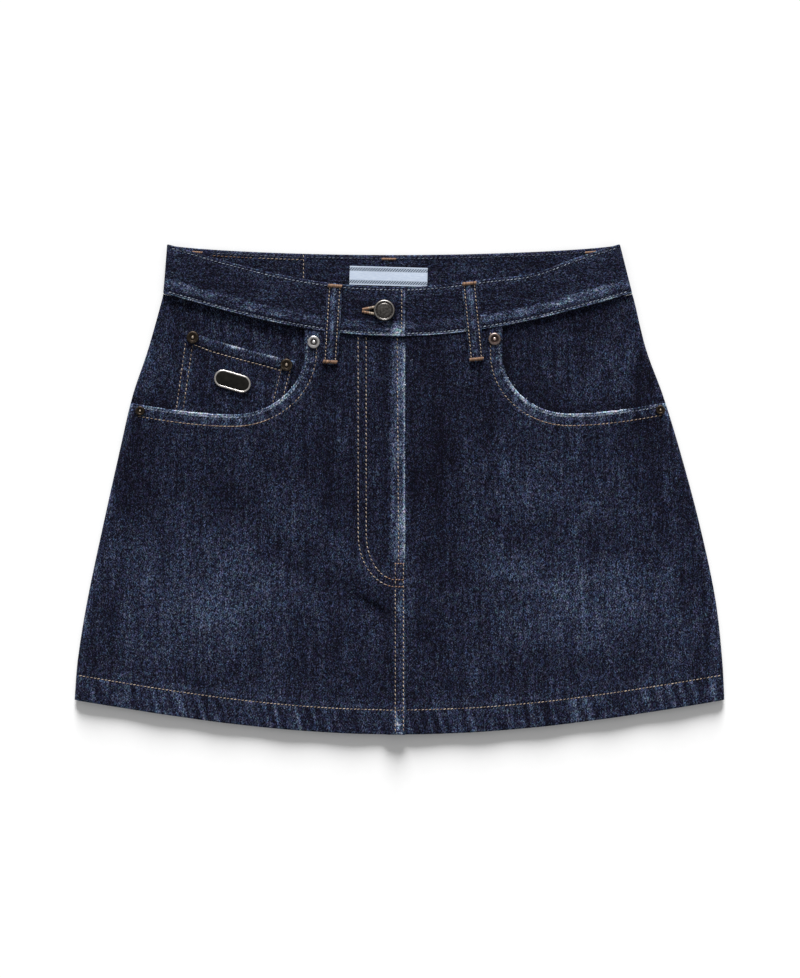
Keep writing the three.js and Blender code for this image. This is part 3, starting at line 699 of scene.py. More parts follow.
def front_panel(side, finish):
    """A front panel as a shell with its pocket opening cut out and its hem and front edge rounded."""
    face = LEFT_FRONT if side < 0 else RIGHT_FRONT
    plain = PLAIN_LEFT if side < 0 else PLAIN_RIGHT
    ups = stations(
        SHELL_STEP, (HEM_SIDE, 0), (HEM_SIDE + 1.2, 0.3), (HEM_SIDE + 27, 0.95), (SEAM_SIDE - GAP, 1.35),
    )
    if side < 0:
        near_x = FRONT_EDGE_X - stations(1, (0, 0), (1.2, 0.3), (13, 0.7), (52, 1.1))
    else:
        near_x = FRONT_EDGE_X + stations(1, (-FLY_UNDERLAP, 0), (-1, 2.5), (50, 1.15))
    flat, turn = suited(*front_columns(face, side, near_x, ups, 1.35), SHELL_STEP)
    up = np.broadcast_to(ups, flat.shape)
    outer = wall(face, flat, side, turn, up, 0, 0)
    depth = turned_hem(HEM_SIDE, up) - 0.5 * ramp(up, HEM_SIDE + 1.2, HEM_SIDE)
    inner = wall(plain, flat, side, turn, up, depth, depth)
    if side > 0:
        outer = outer[::-1]
        inner = inner[::-1]
    name = "front_panel_left_cloth" if side < 0 else "front_panel_right_cloth"
    piece = new_piece(name, *closed_shell(outer, inner, SHELL_STEP), finish)
    cut_through(piece, pocket_cut(POCKET_LEFT if side < 0 else POCKET_RIGHT), -5)
    xyz = points_of(piece)
    up = up_at(plain, xyz[:, 0], xyz[:, 1])
    mark(piece, "wear_and_shade", front_wear_and_shade(side, xyz[:, 0], xyz[:, 1], up))
    on_flat = np.minimum(xyz[:, 0] - left_edge(up), right_edge(up) - xyz[:, 0]) > SIDE_ROUND + 1
    below = xyz[:, 2] < plain.level(xyz[:, 0], xyz[:, 1], up) - 0.75
    mark(piece, "inside", below & on_flat & (up > HEM_SIDE + 1))
    return piece


def pocket_cut(pocket):
    """The outline of what a pocket opening takes away, with the panel's corner above and beside it."""
    edge = pocket_edge(pocket, 200)
    far = pocket.side * LENGTH
    return np.concatenate([edge, [(far, pocket.side_y), (far, 200)]])


def prism(outline, low, high):
    """A straight-sided solid over an outline, whichever way round its points go."""
    x, y = outline.T
    turning = np.sum(x * np.roll(y, -1) - np.roll(x, -1) * y)
    if turning < 0:
        outline = outline[::-1]
    count = len(outline)
    ring = np.arange(count)
    after = np.roll(ring, -1)
    points = np.concatenate([np.column_stack([outline, np.full(count, z)]) for z in (low, high)])
    sides = np.stack([ring, after, after + count, ring + count], -1)
    return points, [ring[None, ::-1], count + ring[None], sides]


def cut_through(piece, outline, low, high=60):
    """Takes a straight-sided hole out of a piece, and keeps the result as its mesh."""
    cutter = new_piece("cutter", *prism(outline, low, high), piece.data.materials[0])
    cut = piece.modifiers.new("cut", "BOOLEAN")
    cut.operation = "DIFFERENCE"
    cut.solver = "MANIFOLD"
    cut.object = cutter
    seen = piece.evaluated_get(bpy.context.evaluated_depsgraph_get())
    made = bpy.data.meshes.new_from_object(seen)
    piece.modifiers.clear()
    old = piece.data
    piece.data = made
    made.name = piece.name
    bpy.data.meshes.remove(old)
    bpy.data.objects.remove(cutter)


def back_panel(finish):
    """The back panel: round both side seams and plain between them, hollowed a little from below."""
    turns = 8
    ups = stations(SHELL_STEP, (BACK_HEM_SIDE, 0), (BACK_HEM_SIDE + 26, 1.6), (SEAM_SIDE - GAP, 2.8))
    share = np.linspace(0, 1, 185)[:, None]
    flat = lerp(flat_end(BACK, -1, ups)[None], flat_end(BACK, 1, ups)[None], share)
    round_left = np.repeat(flat[:1], turns, 0)
    round_right = np.repeat(flat[-1:], turns, 0)
    turn = np.linspace(0, math.pi / 2, turns + 1)[1:, None] * np.ones(len(ups))
    flats = np.concatenate([round_left, flat, round_right])
    turned = np.concatenate([turn[::-1], np.zeros(flat.shape), turn])
    side = np.sign(flats)
    up = np.broadcast_to(ups, flats.shape)
    outer = wall(BACK, flats, side, turned, up, 0, 0)
    depth = turned_hem(BACK_HEM_SIDE, up)
    inner = wall(PLAIN_BACK, flats, side, turned, up, depth, depth)
    inner[..., 2] += np.where(turned > 0, 0, 0.02)
    piece = new_piece("back_panel_cloth", *closed_shell(outer, inner, SHELL_STEP), finish)
    xyz = points_of(piece)
    mark(piece, "wear_and_shade", back_wear(xyz[:, 0], xyz[:, 1]))
    up = up_at(BACK, xyz[:, 0], xyz[:, 1])
    on_flat = np.minimum(xyz[:, 0] - left_edge(up), right_edge(up) - xyz[:, 0]) > SIDE_ROUND + 1
    above = xyz[:, 2] > back_surface(xyz[:, 0], xyz[:, 1], up) + 0.25
    mark(piece, "inside", above & on_flat & (up > BACK_HEM_SIDE + 1))
    return piece


def facing(side, finish):
    """The denim behind a pocket opening: a shell on the panel's form, with a few creases of its own."""
    pocket = POCKET_LEFT if side < 0 else POCKET_RIGHT
    ups = stations(SHELL_STEP, (FACING_FOOT, 0), (SEAM_SIDE - GAP, 1.6))
    near_x = np.array([side * FACING_INNER_X, side * (FACING_INNER_X + 2)], float)
    deep = FACING_DEPTH_UNDER_COIN if side < 0 else FACING_DEPTH

    def level(x, y, up):
        return front_level(x, y, up) + facing_relief(x, y)

    face = front_face(level)
    flat, turn = suited(*front_columns(face, side, near_x, ups, 1.5, 10), SHELL_STEP)
    up = np.broadcast_to(ups, flat.shape)
    depth = lerp(deep, FACING_DEPTH, ramp(np.abs(flat), *FACING_STEP))
    inset = np.where(up < pocket.side_y + SIDE_OVERLAP, FACING_DEPTH, 0)
    outer = wall(face, flat, side, turn, up, depth, inset)
    inner = wall(face, flat, side, turn, up, depth + FACING_THICK, inset + FACING_THICK)
    if side > 0:
        outer = outer[::-1]
        inner = inner[::-1]
    name = "pocket_facing_left_cloth" if side < 0 else "pocket_facing_right_cloth"
    piece = new_piece(name, *closed_shell(outer, inner, SHELL_STEP), finish)
    xyz = points_of(piece)
    mark(piece, "wear_and_shade", facing_wear_and_shade(side, xyz[:, 0], xyz[:, 1]))
    mark(piece, "inside", np.zeros(len(xyz)))
    return piece


def coin_point(across, rise):
    """x and y on the coin pocket, from its right edge to its left and from its foot to its top."""
    corners = [np.array(c) for c in (COIN_FOOT_RIGHT, COIN_FOOT_LEFT, COIN_TOP_RIGHT, COIN_TOP_LEFT)]
    foot_right, foot_left, top_right, top_left = corners
    across = np.asarray(across, float)[..., None]
    rise = np.asarray(rise, float)[..., None]
    low = lerp(foot_right, foot_left, across)
    return lerp(low, lerp(top_right, top_left, across), rise)


def coin_surface(x, y):
    """The coin pocket's outer face: a hem along its top, grooves at its rows and shallow swells."""
    level = front_level(x, y, up_at(PLAIN_LEFT, x, y)) - COIN_DEPTH
    level = level + 0.12 * swell(x, y, 16, 13) + 0.06 * swell(x, y, 6, 14)
    to_top = near(COIN_TOP_EDGE, x, y)[0]
    level += 0.35 * ramp(to_top, 10.5, 8.5) - 0.35 * ramp(to_top, 0.9, 0)
    for row in COIN_ROWS:
        level -= 0.2 * bell(near(row, x, y)[0], 0.8)
    return level


def coin_row(across):
    return np.stack([coin_point(across, 0.87), coin_point(across, 0.02)])


COIN_TOP_EDGE = np.array([COIN_TOP_LEFT, COIN_TOP_RIGHT])
COIN_HEM_ROW = np.array([(-164.5, 116.4), (-150.8, 110.8), (-128.4, 104.6), (-110, 99.8), (-94.5, 95.4)])
COIN_ROWS = [COIN_HEM_ROW] + [coin_row(across) for across in (0.02, 0.1, 0.92, 0.985)]


def coin_pocket(finish):
    """The coin pocket: a patch between four corners with a thick folded edge along its top."""
    columns = 101
    rows = 89
    across, rise = np.meshgrid(np.linspace(0, 1, columns), np.linspace(0, 1, rows), indexing="ij")
    place_xy = coin_point(across, rise)
    x = place_xy[..., 0]
    y = place_xy[..., 1]
    sagging = 1.4 * np.sin(math.pi * across) * ramp(rise, 0.75, 1)
    y = y - sagging
    top = coin_surface(x, y)
    under = front_level(x, y, up_at(PLAIN_LEFT, x, y)) - COIN_DEPTH - COIN_THICK
    points, faces = closed_shell(np.stack([x, y, top], -1), np.stack([x, y, under], -1), SHELL_STEP)
    piece = new_piece("coin_pocket_cloth", points, faces, finish)
    xyz = points_of(piece)
    mark(piece, "wear_and_shade", coin_wear(xyz[:, 0], xyz[:, 1]))
    mark(piece, "inside", np.zeros(len(xyz)))
    return piece


def waistband(finish):
    """One strip round the waist: a section with rounded edges carried from the lapping end round the left
    side, along the back and round to the lapped end, with the buttonhole cut through."""
    edge = 0.95
    outer_up = SEAM_SIDE + stations(1, (edge, 0), (BAND_HEIGHT - edge, 1.05))
    corner = np.linspace(0, math.pi / 2, 4)
    section_up = np.concatenate([
        outer_up, WAIST_SIDE - edge + edge * np.sin(corner[1:]),
        np.linspace(WAIST_SIDE, WAIST_SIDE - edge, 3)[1:], np.linspace(WAIST_SIDE - 3, SEAM_SIDE + 3, 12),
        [SEAM_SIDE + edge, SEAM_SIDE], SEAM_SIDE + edge - edge * np.cos(corner[1:-1]),
    ])
    section_depth = np.concatenate([
        np.zeros(len(outer_up)), edge - edge * np.cos(corner[1:]),
        [BAND_THICK - 0.4, BAND_THICK], np.full(12, BAND_THICK),
        [BAND_THICK, BAND_THICK - 0.6], edge - edge * np.sin(corner[1:-1]),
    ])
    stretches = []
    lapping = FRONT_EDGE_X - stations(1, (0, 0), (0.9, 0.3), (62, 1.2))
    lapped = FRONT_EDGE_X - stations(1, (TAB_UNDERLAP, 0), (-48, 1.5))
    for face, side, near_x in ((LEFT_BAND, -1, lapping), (BACK_BAND, 0, None), (RIGHT_BAND, 1, lapped)):
        if side:
            flat, turn = front_columns(face, side, near_x, section_up, 1.25)
            sides = side
            if side > 0:
                flat = flat[::-1]
                turn = turn[::-1]
        else:
            share = np.linspace(0, 1, 151)[:, None]
            flat = lerp(flat_end(face, -1, section_up)[None], flat_end(face, 1, section_up)[None], share)
            turns = np.linspace(0, math.pi / 2, 9)[1:-1, None] * np.ones(len(section_up))
            turn = np.concatenate([turns[::-1], np.zeros(flat.shape), turns])
            flat = np.concatenate([flat[:1].repeat(7, 0), flat, flat[-1:].repeat(7, 0)])
            sides = np.sign(flat)
        up = np.broadcast_to(section_up, flat.shape)
        depth = np.broadcast_to(section_depth, flat.shape)
        stretches.append(wall(face, flat, sides, turn, up, depth, depth))
    points = np.concatenate(stretches)
    columns, rows = points.shape[:2]
    numbers = np.arange(columns * rows).reshape(columns, rows)
    numbers = np.concatenate([numbers, numbers[:, :1]], 1)
    i, j = np.meshgrid(np.arange(columns - 1), np.arange(rows), indexing="ij")
    corners = [numbers[i, j], numbers[i, j + 1], numbers[i + 1, j + 1], numbers[i + 1, j]]
    faces = [np.stack(corners, -1).reshape(-1, 4), numbers[:1, :-1][:, ::-1], numbers[-1:, :-1]]
    piece = new_piece("waistband_cloth", points, faces, finish)
    cut_through(piece, buttonhole(0), BAND_LEVEL + GAP / 2)
    xyz = points_of(piece)
    mark(piece, "wear_and_shade", band_wear_and_shade(xyz))
    mark(piece, "inside", np.zeros(len(xyz)))
    return piece


def buttonhole(grow):
    """The buttonhole, pulled open by the shank: an eye round the shank and two lines that meet in a point."""
    eye = BUTTONHOLE_EYE + grow
    tail = BUTTONHOLE_TAIL + grow * 1.6
    tangent = math.degrees(math.acos(eye / tail))
    round_part = arc((BUTTON_X, BUTTON_Y), (eye, eye), -180 + tangent, 180 - tangent, 20)
    return np.concatenate([[(BUTTON_X - tail, BUTTON_Y)], round_part])


# Wear and painted shade: 0 is unworn indigo, 1 is bleached white; the terms that darken grooves, creases and
# places beside raised parts paint shade
def patch(x, y, at_x, at_y, wide, tall):
    """A soft oval patch of height 1."""
    return np.exp(-(((x - at_x) / wide) ** 2) - ((y - at_y) / tall) ** 2)


def streaks(x, y, wide, tall, seed):
    """Random streaks of height 0 to 1, wide across and tall along the threads."""
    return 0.5 + 0.5 * swell(x, y * wide / tall, wide, seed)


def front_wear_and_shade(side, x, y, up):
    """The fades of the fronts: thighs, side edges, roped hem, pocket edges, fly edge and felled seam. Painted
    shade darkens the fold troughs and the grooves beside the fly and the felled seam.
    """
    above_hem = up - HEM_SIDE
    in_hem = ramp(above_hem, HEM_HEIGHT + 1, HEM_HEIGHT - 1)
    wear_and_shade = 0.185 + 0.035 * swell(x, y, 60, 20) + 0.025 * swell(x, y, 20, 21)
    wear_and_shade += 0.14 * patch(x, y, -152, -98, 56, 46) + 0.05 * patch(x, y, -110, -60, 70, 60)
    wear_and_shade += 0.13 * patch(x, y, 176, -91, 44, 42) + 0.11 * patch(x, y, 122, -88, 44, 42)
    wear_and_shade += 0.06 * patch(x, y, 122, 4, 46, 50) + 0.04 * patch(x, y, 60, -40, 40, 60)
    wear_and_shade -= 0.08 * patch(x, y, 30, -30, 22, 105) + 0.04 * patch(x, y, -52, -20, 18, 110)
    # Painted shade: darker in the grooves beside the felled seam below the fly
    wear_and_shade -= 0.05 * (bell(x + 8, 5) + bell(x - 15, 8)) * ramp(y, -70, -84)
    # Fold ridges paler as wear, fold troughs darker as painted shade
    wear_and_shade += 0.08 * folds(x, y, LARGE_FOLDS[:-2]) + 0.15 * folds(x, y, SMALL_CREASES)
    edge_gap = np.minimum(x - left_edge(up), right_edge(up) - x)
    wear_and_shade -= 0.05 * bell(edge_gap - 20, 15)
    wear_and_shade += 0.05 * swell(x, y / 5, 7, 29) * ramp(edge_gap, 60, 20)
    wear_and_shade += 0.12 * bell(edge_gap - 1, 3) * streaks(x, y, 8, 20, 22)
    wear_and_shade += in_hem * (0.06 + 0.16 * hem_rope(x, above_hem) + 0.05 * swell(x, y * 0.3, 5, 23))
    wear_and_shade += 0.13 * bell(above_hem - HEM_HEIGHT - 3.5, 2.4) * streaks(x, y, 9, 9, 24)
    wear_and_shade += 0.16 * bell(above_hem, 1.3)
    off, along = near(EDGE_LEFT if side < 0 else EDGE_RIGHT, x, y)
    pucker = np.sin(2 * math.pi * along / 8.5 + 2 * swell(along, along * 0, 23, 6))
    wear_and_shade += ramp(off, POCKET_BAND + 1, POCKET_BAND - 2) * (0.1 + 0.07 * pucker + 0.05 * swell(x, y, 6, 25))
    bleach = lip_bleach(side, along)
    wear_and_shade += bell(off - 0.5, 1.4) * (0.12 + 0.75 * bleach)
    if side < 0:
        in_fly = ramp(y, -66, -46) * ramp(y, 124, 112)
        back = FRONT_EDGE_X - x
        strip = ramp(back, 13.5, 10) * ramp(back, -1, 0.6)
        wear_and_shade += in_fly * strip * (0.15 + 0.17 * streaks(x, y, 3, 26, 26) + 0.09 * swell(x, y, 7, 27))
        # Painted shade: darker in the groove left of the fly's pale strip
        wear_and_shade -= 0.08 * in_fly * bell(back - 16, 3)
        wear_and_shade += in_fly * 0.34 * bell(back - 0.7, 0.9) * (0.25 + 0.75 * streaks(x * 0, y, 9, 9, 28))
        between_rows = bell(x - 0.1, 3.2) * ramp(y, -70, -76)
        wear_and_shade += between_rows * (0.06 + 0.28 * bell(y + 95, 7) + 0.3 * bell(y + 187, 9))
        wear_and_shade += 0.07 * between_rows * np.sin(2 * math.pi * y / 3.5)
        wear_and_shade += ramp(y, -70, -76) * 0.14 * bell(back - 0.6, 1.1)
    else:
        wear_and_shade += 0.1 * patch(x, y, 9, -92, 6, 16)
    return np.clip(wear_and_shade, 0, 1)


def lip_bleach(side, along):
    """How bleached the folded pocket edge is, by the distance along it from the waist seam."""
    if side < 0:
        return 0.14 * ramp(along, 40, 60) + 0.7 * bell(along - 152, 28) + 0.55 * bell(along - 85, 14)
    often = 0.62 * bell(along - 76, 18) + 0.7 * bell(along - 122, 22) + 0.85 * bell(along - 158, 10)
    return 0.14 * ramp(along, 40, 60) + often


def back_wear(x, y):
    """The back fades over both thighs, and its hem is roped like the front's."""
    above_hem = up_at(BACK, x, y) - BACK_HEM_SIDE
    wear_and_shade = 0.19 + 0.05 * swell(x, y, 60, 30) + 0.03 * swell(x, y, 20, 31)
    wear_and_shade += 0.13 * patch(x, y, -110, -60, 70, 60) + 0.13 * patch(x, y, 110, -60, 70, 60)
    wear_and_shade += ramp(above_hem, HEM_HEIGHT + 1, HEM_HEIGHT - 1) * (0.07 + 0.2 * hem_rope(x + 70, above_hem))
    return wear_and_shade


def facing_wear_and_shade(side, x, y):
    wear_and_shade = 0.18 + 0.04 * swell(x, y, 34, 32) + 0.03 * swell(x, y, 12, 33) + 0.04 * swell(x, y / 5, 7, 29)
    # Painted shadow: darker near the pocket edge, where the front's folded edge shades the facing
    wear_and_shade -= 0.1 * bell(near(EDGE_LEFT if side < 0 else EDGE_RIGHT, x, y)[0], 8)
    # Facing crease ridges paler as wear, troughs darker as painted shade
    wear_and_shade += 0.12 * folds(x, y, FACING_CREASES)
    up = up_at(PLAIN_LEFT, x, y)
    edge_gap = np.minimum(x - left_edge(up), right_edge(up) - x)
    wear_and_shade += 0.08 * bell(edge_gap - 10, 6) * ramp(y, 140, 80) + 0.06 * bell(edge_gap - 1, 2.5)
    if side > 0:
        # Painted shade: darker along the deep crease near the right side seam
        wear_and_shade -= 0.12 * patch(x, y, 196, 88, 7, 20)
        wear_and_shade += 0.04 * patch(x, y, 140, 96, 26, 22)
    return np.clip(wear_and_shade, 0, 1)


def coin_wear(x, y):
    """Dark below, with a worn folded top edge, a frayed spot on it and paler stitched sides."""
    to_top, along = near(COIN_TOP_EDGE, x, y)
    wear_and_shade = 0.17 + 0.04 * swell(x, y, 14, 34)
    wear_and_shade += ramp(to_top, 9, 6.5) * (0.06 + 0.1 * swell(x, y, 5, 35))
    wear_and_shade += bell(to_top - 1.4, 1.6) * (0.3 + 0.25 * swell(along, along * 0, 9, 36))
    wear_and_shade += 0.75 * patch(x, y, -130.6, 113.6, 4.2, 1.8)
    for row in COIN_ROWS[1:]:
        wear_and_shade += 0.07 * bell(near(row, x, y)[0] - 1.4, 1.2)
    return np.clip(wear_and_shade, 0, 1)


def band_wear_and_shade(xyz):
    """The band is paler over its seam allowance, along both edges and at the lapping end's lower corner, with
    painted shade left of the button.
    """
    x, y, z = xyz.T
    on_front = z > band_seam_plane(0)
    front_up = np.where(x < FRONT_EDGE_X, up_at(LEFT_BAND, x, y), up_at(RIGHT_BAND, x, y))
    up = np.where(on_front, front_up, up_at(BACK_BAND, x, y))
    wear_and_shade = 0.175 + 0.035 * swell(x, y, 30, 37) + 0.03 * swell(x * 0.4, y, 7, 38)
    over_seam = ramp(up, SEAM_SIDE + 13.5, SEAM_SIDE + 11) * ramp(up, SEAM_SIDE + 4, SEAM_SIDE + 6.5)
    worn = 0.45 + 0.55 * ramp(np.abs(x + 10), 40, 80)
    wear_and_shade += over_seam * worn * (0.07 + 0.28 * streaks(x, y, 8, 4, 39)) * on_front
    wear_and_shade += 0.05 * ramp(up, WAIST_SIDE - 14, WAIST_SIDE - 4) * on_front
    wear_and_shade += bell(up - SEAM_SIDE - 1.1, 0.7) * 0.8 * (0.35 + 0.65 * streaks(x, y, 12, 12, 40)) * on_front
    wear_and_shade += 0.16 * bell(up - WAIST_SIDE + 0.3, 0.8) * streaks(x, y, 9, 9, 41)
    wear_and_shade += (0.6 * patch(x, y, -1.5, 125, 4.5, 5) + 0.2 * patch(x, y, -10, 128, 10, 6)) * on_front
    wear_and_shade += 0.2 * bell(x - FRONT_EDGE_X + 0.9, 1.3) * on_front * (z > BAND_LEVEL + 1.4)
    # Painted shade: darker left of the button, over the buttonhole
    wear_and_shade -= 0.1 * patch(x, y, BUTTON_X - 14, BUTTON_Y + 2, 14, 9) * on_front
    return np.clip(wear_and_shade, 0, 1)


# Node helpers
def new_finish(name):
    """A finish with a Principled shader. Gives the material, its nodes' tree and the shader."""
    finish = bpy.data.materials.new(name)
    finish.use_nodes = True
    tree = finish.node_tree
    return finish, tree, tree.nodes["Principled BSDF"]


def add(tree, kind, inputs, **settings):
    """Adds a node, sets its options and fills its inputs, each with a value or with the output that
    feeds it."""
    made = tree.nodes.new(kind)
    for key, value in settings.items():
        setattr(made, key, value)
    for key, value in inputs.items():
        if isinstance(value, bpy.types.NodeSocket):
            tree.links.new(value, made.inputs[key])
        else:
            made.inputs[key].default_value = value
    return made


def maths(tree, operation, a, b=0.0, c=0.0):
    return add(tree, "ShaderNodeMath", {0: a, 1: b, 2: c}, operation=operation).outputs[0]


def scaled(tree, vector, x, y, z, turn=0.0):
    """Coordinates in which a pattern of size 1 is x, y and z mm large, turned about z by some degrees."""
    spin = add(tree, "ShaderNodeMapping", {"Vector": vector, "Rotation": (0, 0, math.radians(turn))})
    inputs = {"Vector": spin.outputs[0], "Scale": (1 / (x * MM), 1 / (y * MM), 1 / (z * MM))}
    return add(tree, "ShaderNodeMapping", inputs).outputs[0]


def noise(tree, vector, detail=2.0, roughness=0.5):
    inputs = {"Vector": vector, "Scale": 1.0, "Detail": detail, "Roughness": roughness}
    return add(tree, "ShaderNodeTexNoise", inputs).outputs[0]


def ticks(tree, vector):
    """One random value from 0 to 1 for each cell of size 1."""
    cell = add(tree, "ShaderNodeVectorMath", {0: vector}, operation="FLOOR").outputs[0]
    return add(tree, "ShaderNodeTexWhiteNoise", {"Vector": cell}, noise_dimensions="3D").outputs["Value"]


def ramp_node(tree, value, *stops):
    """A colour ramp: each stop is its place and a colour in linear light."""
    made = add(tree, "ShaderNodeValToRGB", {"Fac": value})
    elements = made.color_ramp.elements
    while len(elements) < len(stops):
        elements.new(0.5)
    for element, (position, colour) in zip(elements, stops):
        element.position = position
        element.color = (*colour, 1)
    return made.outputs[0]


def grey(value):
    return (value, value, value)


def denim(name, warp_turn=0.0):
    """Twill of indigo warp over pale weft. The attribute of fades and painted shade, slow blotches, slubs
    along the warp, weft lines, threads, single bright or dark ticks of thread and diagonal twill lines add up
    to a place on a ramp from unworn indigo to bleached white. A slow noise turns the hue a little, and the
    threads and the twill raise the surface. The inner side shows more of the weft."""
    finish, tree, shader = new_finish(name)
    place_on = add(tree, "ShaderNodeTexCoord", {}).outputs["Object"]
    # Reads the fades, which also hold painted shade in grooves, creases and beside raised parts
    wear_and_shade = add(tree, "ShaderNodeAttribute", {}, attribute_name="wear_and_shade").outputs["Fac"]
    inside = add(tree, "ShaderNodeAttribute", {}, attribute_name="inside").outputs["Fac"]
    along = add(tree, "ShaderNodeMapping", {"Vector": place_on, "Rotation": (0, 0, math.radians(warp_turn))})
    along = along.outputs[0]
    blotch = noise(tree, scaled(tree, along, 26, 34, 26), 3)
    slub = noise(tree, scaled(tree, along, 1.7, 22, 8), 2, 0.6)
    long_slub = noise(tree, scaled(tree, along, 4.5, 90, 20), 2)
    weft = noise(tree, scaled(tree, along, 12, 1.5, 8), 1)
    thread = noise(tree, scaled(tree, along, 1.1, 1.7, 3, 14), 2, 0.7)
    tick = ticks(tree, scaled(tree, along, 0.52, 0.9, 9, 14))
    tint = add(tree, "ShaderNodeTexNoise", {"Vector": scaled(tree, along, 2.2, 3.2, 9), "Scale": 1.0})
    twill_at = scaled(tree, along, 1, 1, 1, 62)
    twill = add(tree, "ShaderNodeTexWave", {"Vector": twill_at, "Scale": 0.26, "Distortion": 2.2,
                                            "Detail": 2.0, "Detail Scale": 0.8}).outputs["Fac"]
    total = wear_and_shade
    parts = (
        (blotch, 0.2), (slub, 0.36), (long_slub, 0.2), (weft, 0.14), (twill, 0.08), (thread, 0.52),
        (tick, 0.6),
    )
    for part, gain in parts:
        total = maths(tree, "ADD", total, maths(tree, "MULTIPLY", maths(tree, "SUBTRACT", part, 0.5), gain))
    colour = ramp_node(
        tree, total,
        (0.0, (0.0016, 0.0014, 0.0041)), (0.14, (0.0045, 0.0042, 0.0112)), (0.28, (0.0112, 0.0122, 0.028)),
        (0.46, (0.0285, 0.038, 0.0735)), (0.68, (0.103, 0.14, 0.222)), (1.0, (0.42, 0.49, 0.57)),
    )
    weft_colour = ramp_node(
        tree, thread, (0.3, (0.05, 0.06, 0.085)), (0.55, (0.16, 0.18, 0.22)), (0.8, (0.34, 0.36, 0.38)),
    )
    mix = add(tree, "ShaderNodeMix", {0: inside, 6: colour, 7: weft_colour}, data_type="RGBA")
    hue = {0: tint.outputs["Color"], 1: (1.3, 0.7, 1.1), 2: (0.35, 0.65, 0.45)}
    hue = add(tree, "ShaderNodeVectorMath", hue, operation="MULTIPLY_ADD").outputs[0]
    tinted = add(tree, "ShaderNodeVectorMath", {0: mix.outputs[2], 1: hue}, operation="MULTIPLY")
    tree.links.new(tinted.outputs[0], shader.inputs["Base Color"])
    raised = maths(tree, "ADD", maths(tree, "MULTIPLY", thread, 0.8), maths(tree, "MULTIPLY", twill, 0.35))
    raised = maths(tree, "ADD", raised, maths(tree, "MULTIPLY", slub, 0.4))
    bump = add(tree, "ShaderNodeBump", {"Height": raised, "Strength": 0.55, "Distance": 0.35 * MM})
    tree.links.new(bump.outputs[0], shader.inputs["Normal"])
    shader.inputs["Roughness"].default_value = 0.92
    shader.inputs["Specular IOR Level"].default_value = 0.05
    shader.inputs["Sheen Weight"].default_value = 0.02
    shader.inputs["Sheen Roughness"].default_value = 0.6
    shader.inputs["Sheen Tint"].default_value = (0.55, 0.65, 0.95, 1)
    return finish


def thread_finish(name, dark, light):
    """Twisted sewing thread: each stitch has its own shade, with fine slanting plies raised on it."""
    finish, tree, shader = new_finish(name)
    place_on = add(tree, "ShaderNodeTexCoord", {}).outputs["Object"]
    shade = add(tree, "ShaderNodeAttribute", {}, attribute_name="shade").outputs["Fac"]
    ply = noise(tree, scaled(tree, place_on, 0.25, 0.25, 0.25), 2)
    total = maths(tree, "ADD", shade, maths(tree, "MULTIPLY", maths(tree, "SUBTRACT", ply, 0.5), 0.5))
    tree.links.new(ramp_node(tree, total, (0.1, dark), (0.9, light)), shader.inputs["Base Color"])
    bump = add(tree, "ShaderNodeBump", {"Height": ply, "Strength": 0.4, "Distance": 0.1 * MM})
    tree.links.new(bump.outputs[0], shader.inputs["Normal"])
    shader.inputs["Roughness"].default_value = 0.6
    shader.inputs["Specular IOR Level"].default_value = 0.3
    return finish


def metal(name, dark, light, roughness, tarnish=0.5):
    """Plated metal: clean on its high places, darkened by tarnish in blotches, with fine scratches."""
    finish, tree, shader = new_finish(name)
    place_on = add(tree, "ShaderNodeTexCoord", {}).outputs["Object"]
    worn = add(tree, "ShaderNodeAttribute", {}, attribute_name="wear_and_shade").outputs["Fac"]
    blotch = noise(tree, scaled(tree, place_on, 1.6, 1.6, 1.6), 4, 0.65)
    fine = noise(tree, scaled(tree, place_on, 0.22, 0.22, 0.22), 2)
    total = maths(tree, "ADD", worn, maths(tree, "MULTIPLY", maths(tree, "SUBTRACT", blotch, 0.5), tarnish))
    tree.links.new(ramp_node(tree, total, (0.15, dark), (0.85, light)), shader.inputs["Base Color"])
    spread = {"Value": fine, "To Min": roughness - 0.08, "To Max": roughness + 0.1}
    rough = add(tree, "ShaderNodeMapRange", spread)
    tree.links.new(rough.outputs[0], shader.inputs["Roughness"])
    bump = add(tree, "ShaderNodeBump", {"Height": fine, "Strength": 0.25, "Distance": 0.05 * MM})
    tree.links.new(bump.outputs[0], shader.inputs["Normal"])
    shader.inputs["Metallic"].default_value = 0.92
    return finish


def enamel_finish():
    """Black enamel with a faint brown cast, slightly uneven and glossy."""
    finish, tree, shader = new_finish("black enamel")
    place_on = add(tree, "ShaderNodeTexCoord", {}).outputs["Object"]
    cloud = noise(tree, scaled(tree, place_on, 3, 3, 3), 3)
    colour = ramp_node(tree, cloud, (0.3, (0.004, 0.004, 0.0035)), (0.8, (0.012, 0.011, 0.009)))
    tree.links.new(colour, shader.inputs["Base Color"])
    bump = add(tree, "ShaderNodeBump", {"Height": cloud, "Strength": 0.15, "Distance": 0.2 * MM})
    tree.links.new(bump.outputs[0], shader.inputs["Normal"])
    shader.inputs["Roughness"].default_value = 0.28
    shader.inputs["Specular IOR Level"].default_value = 0.16
    return finish


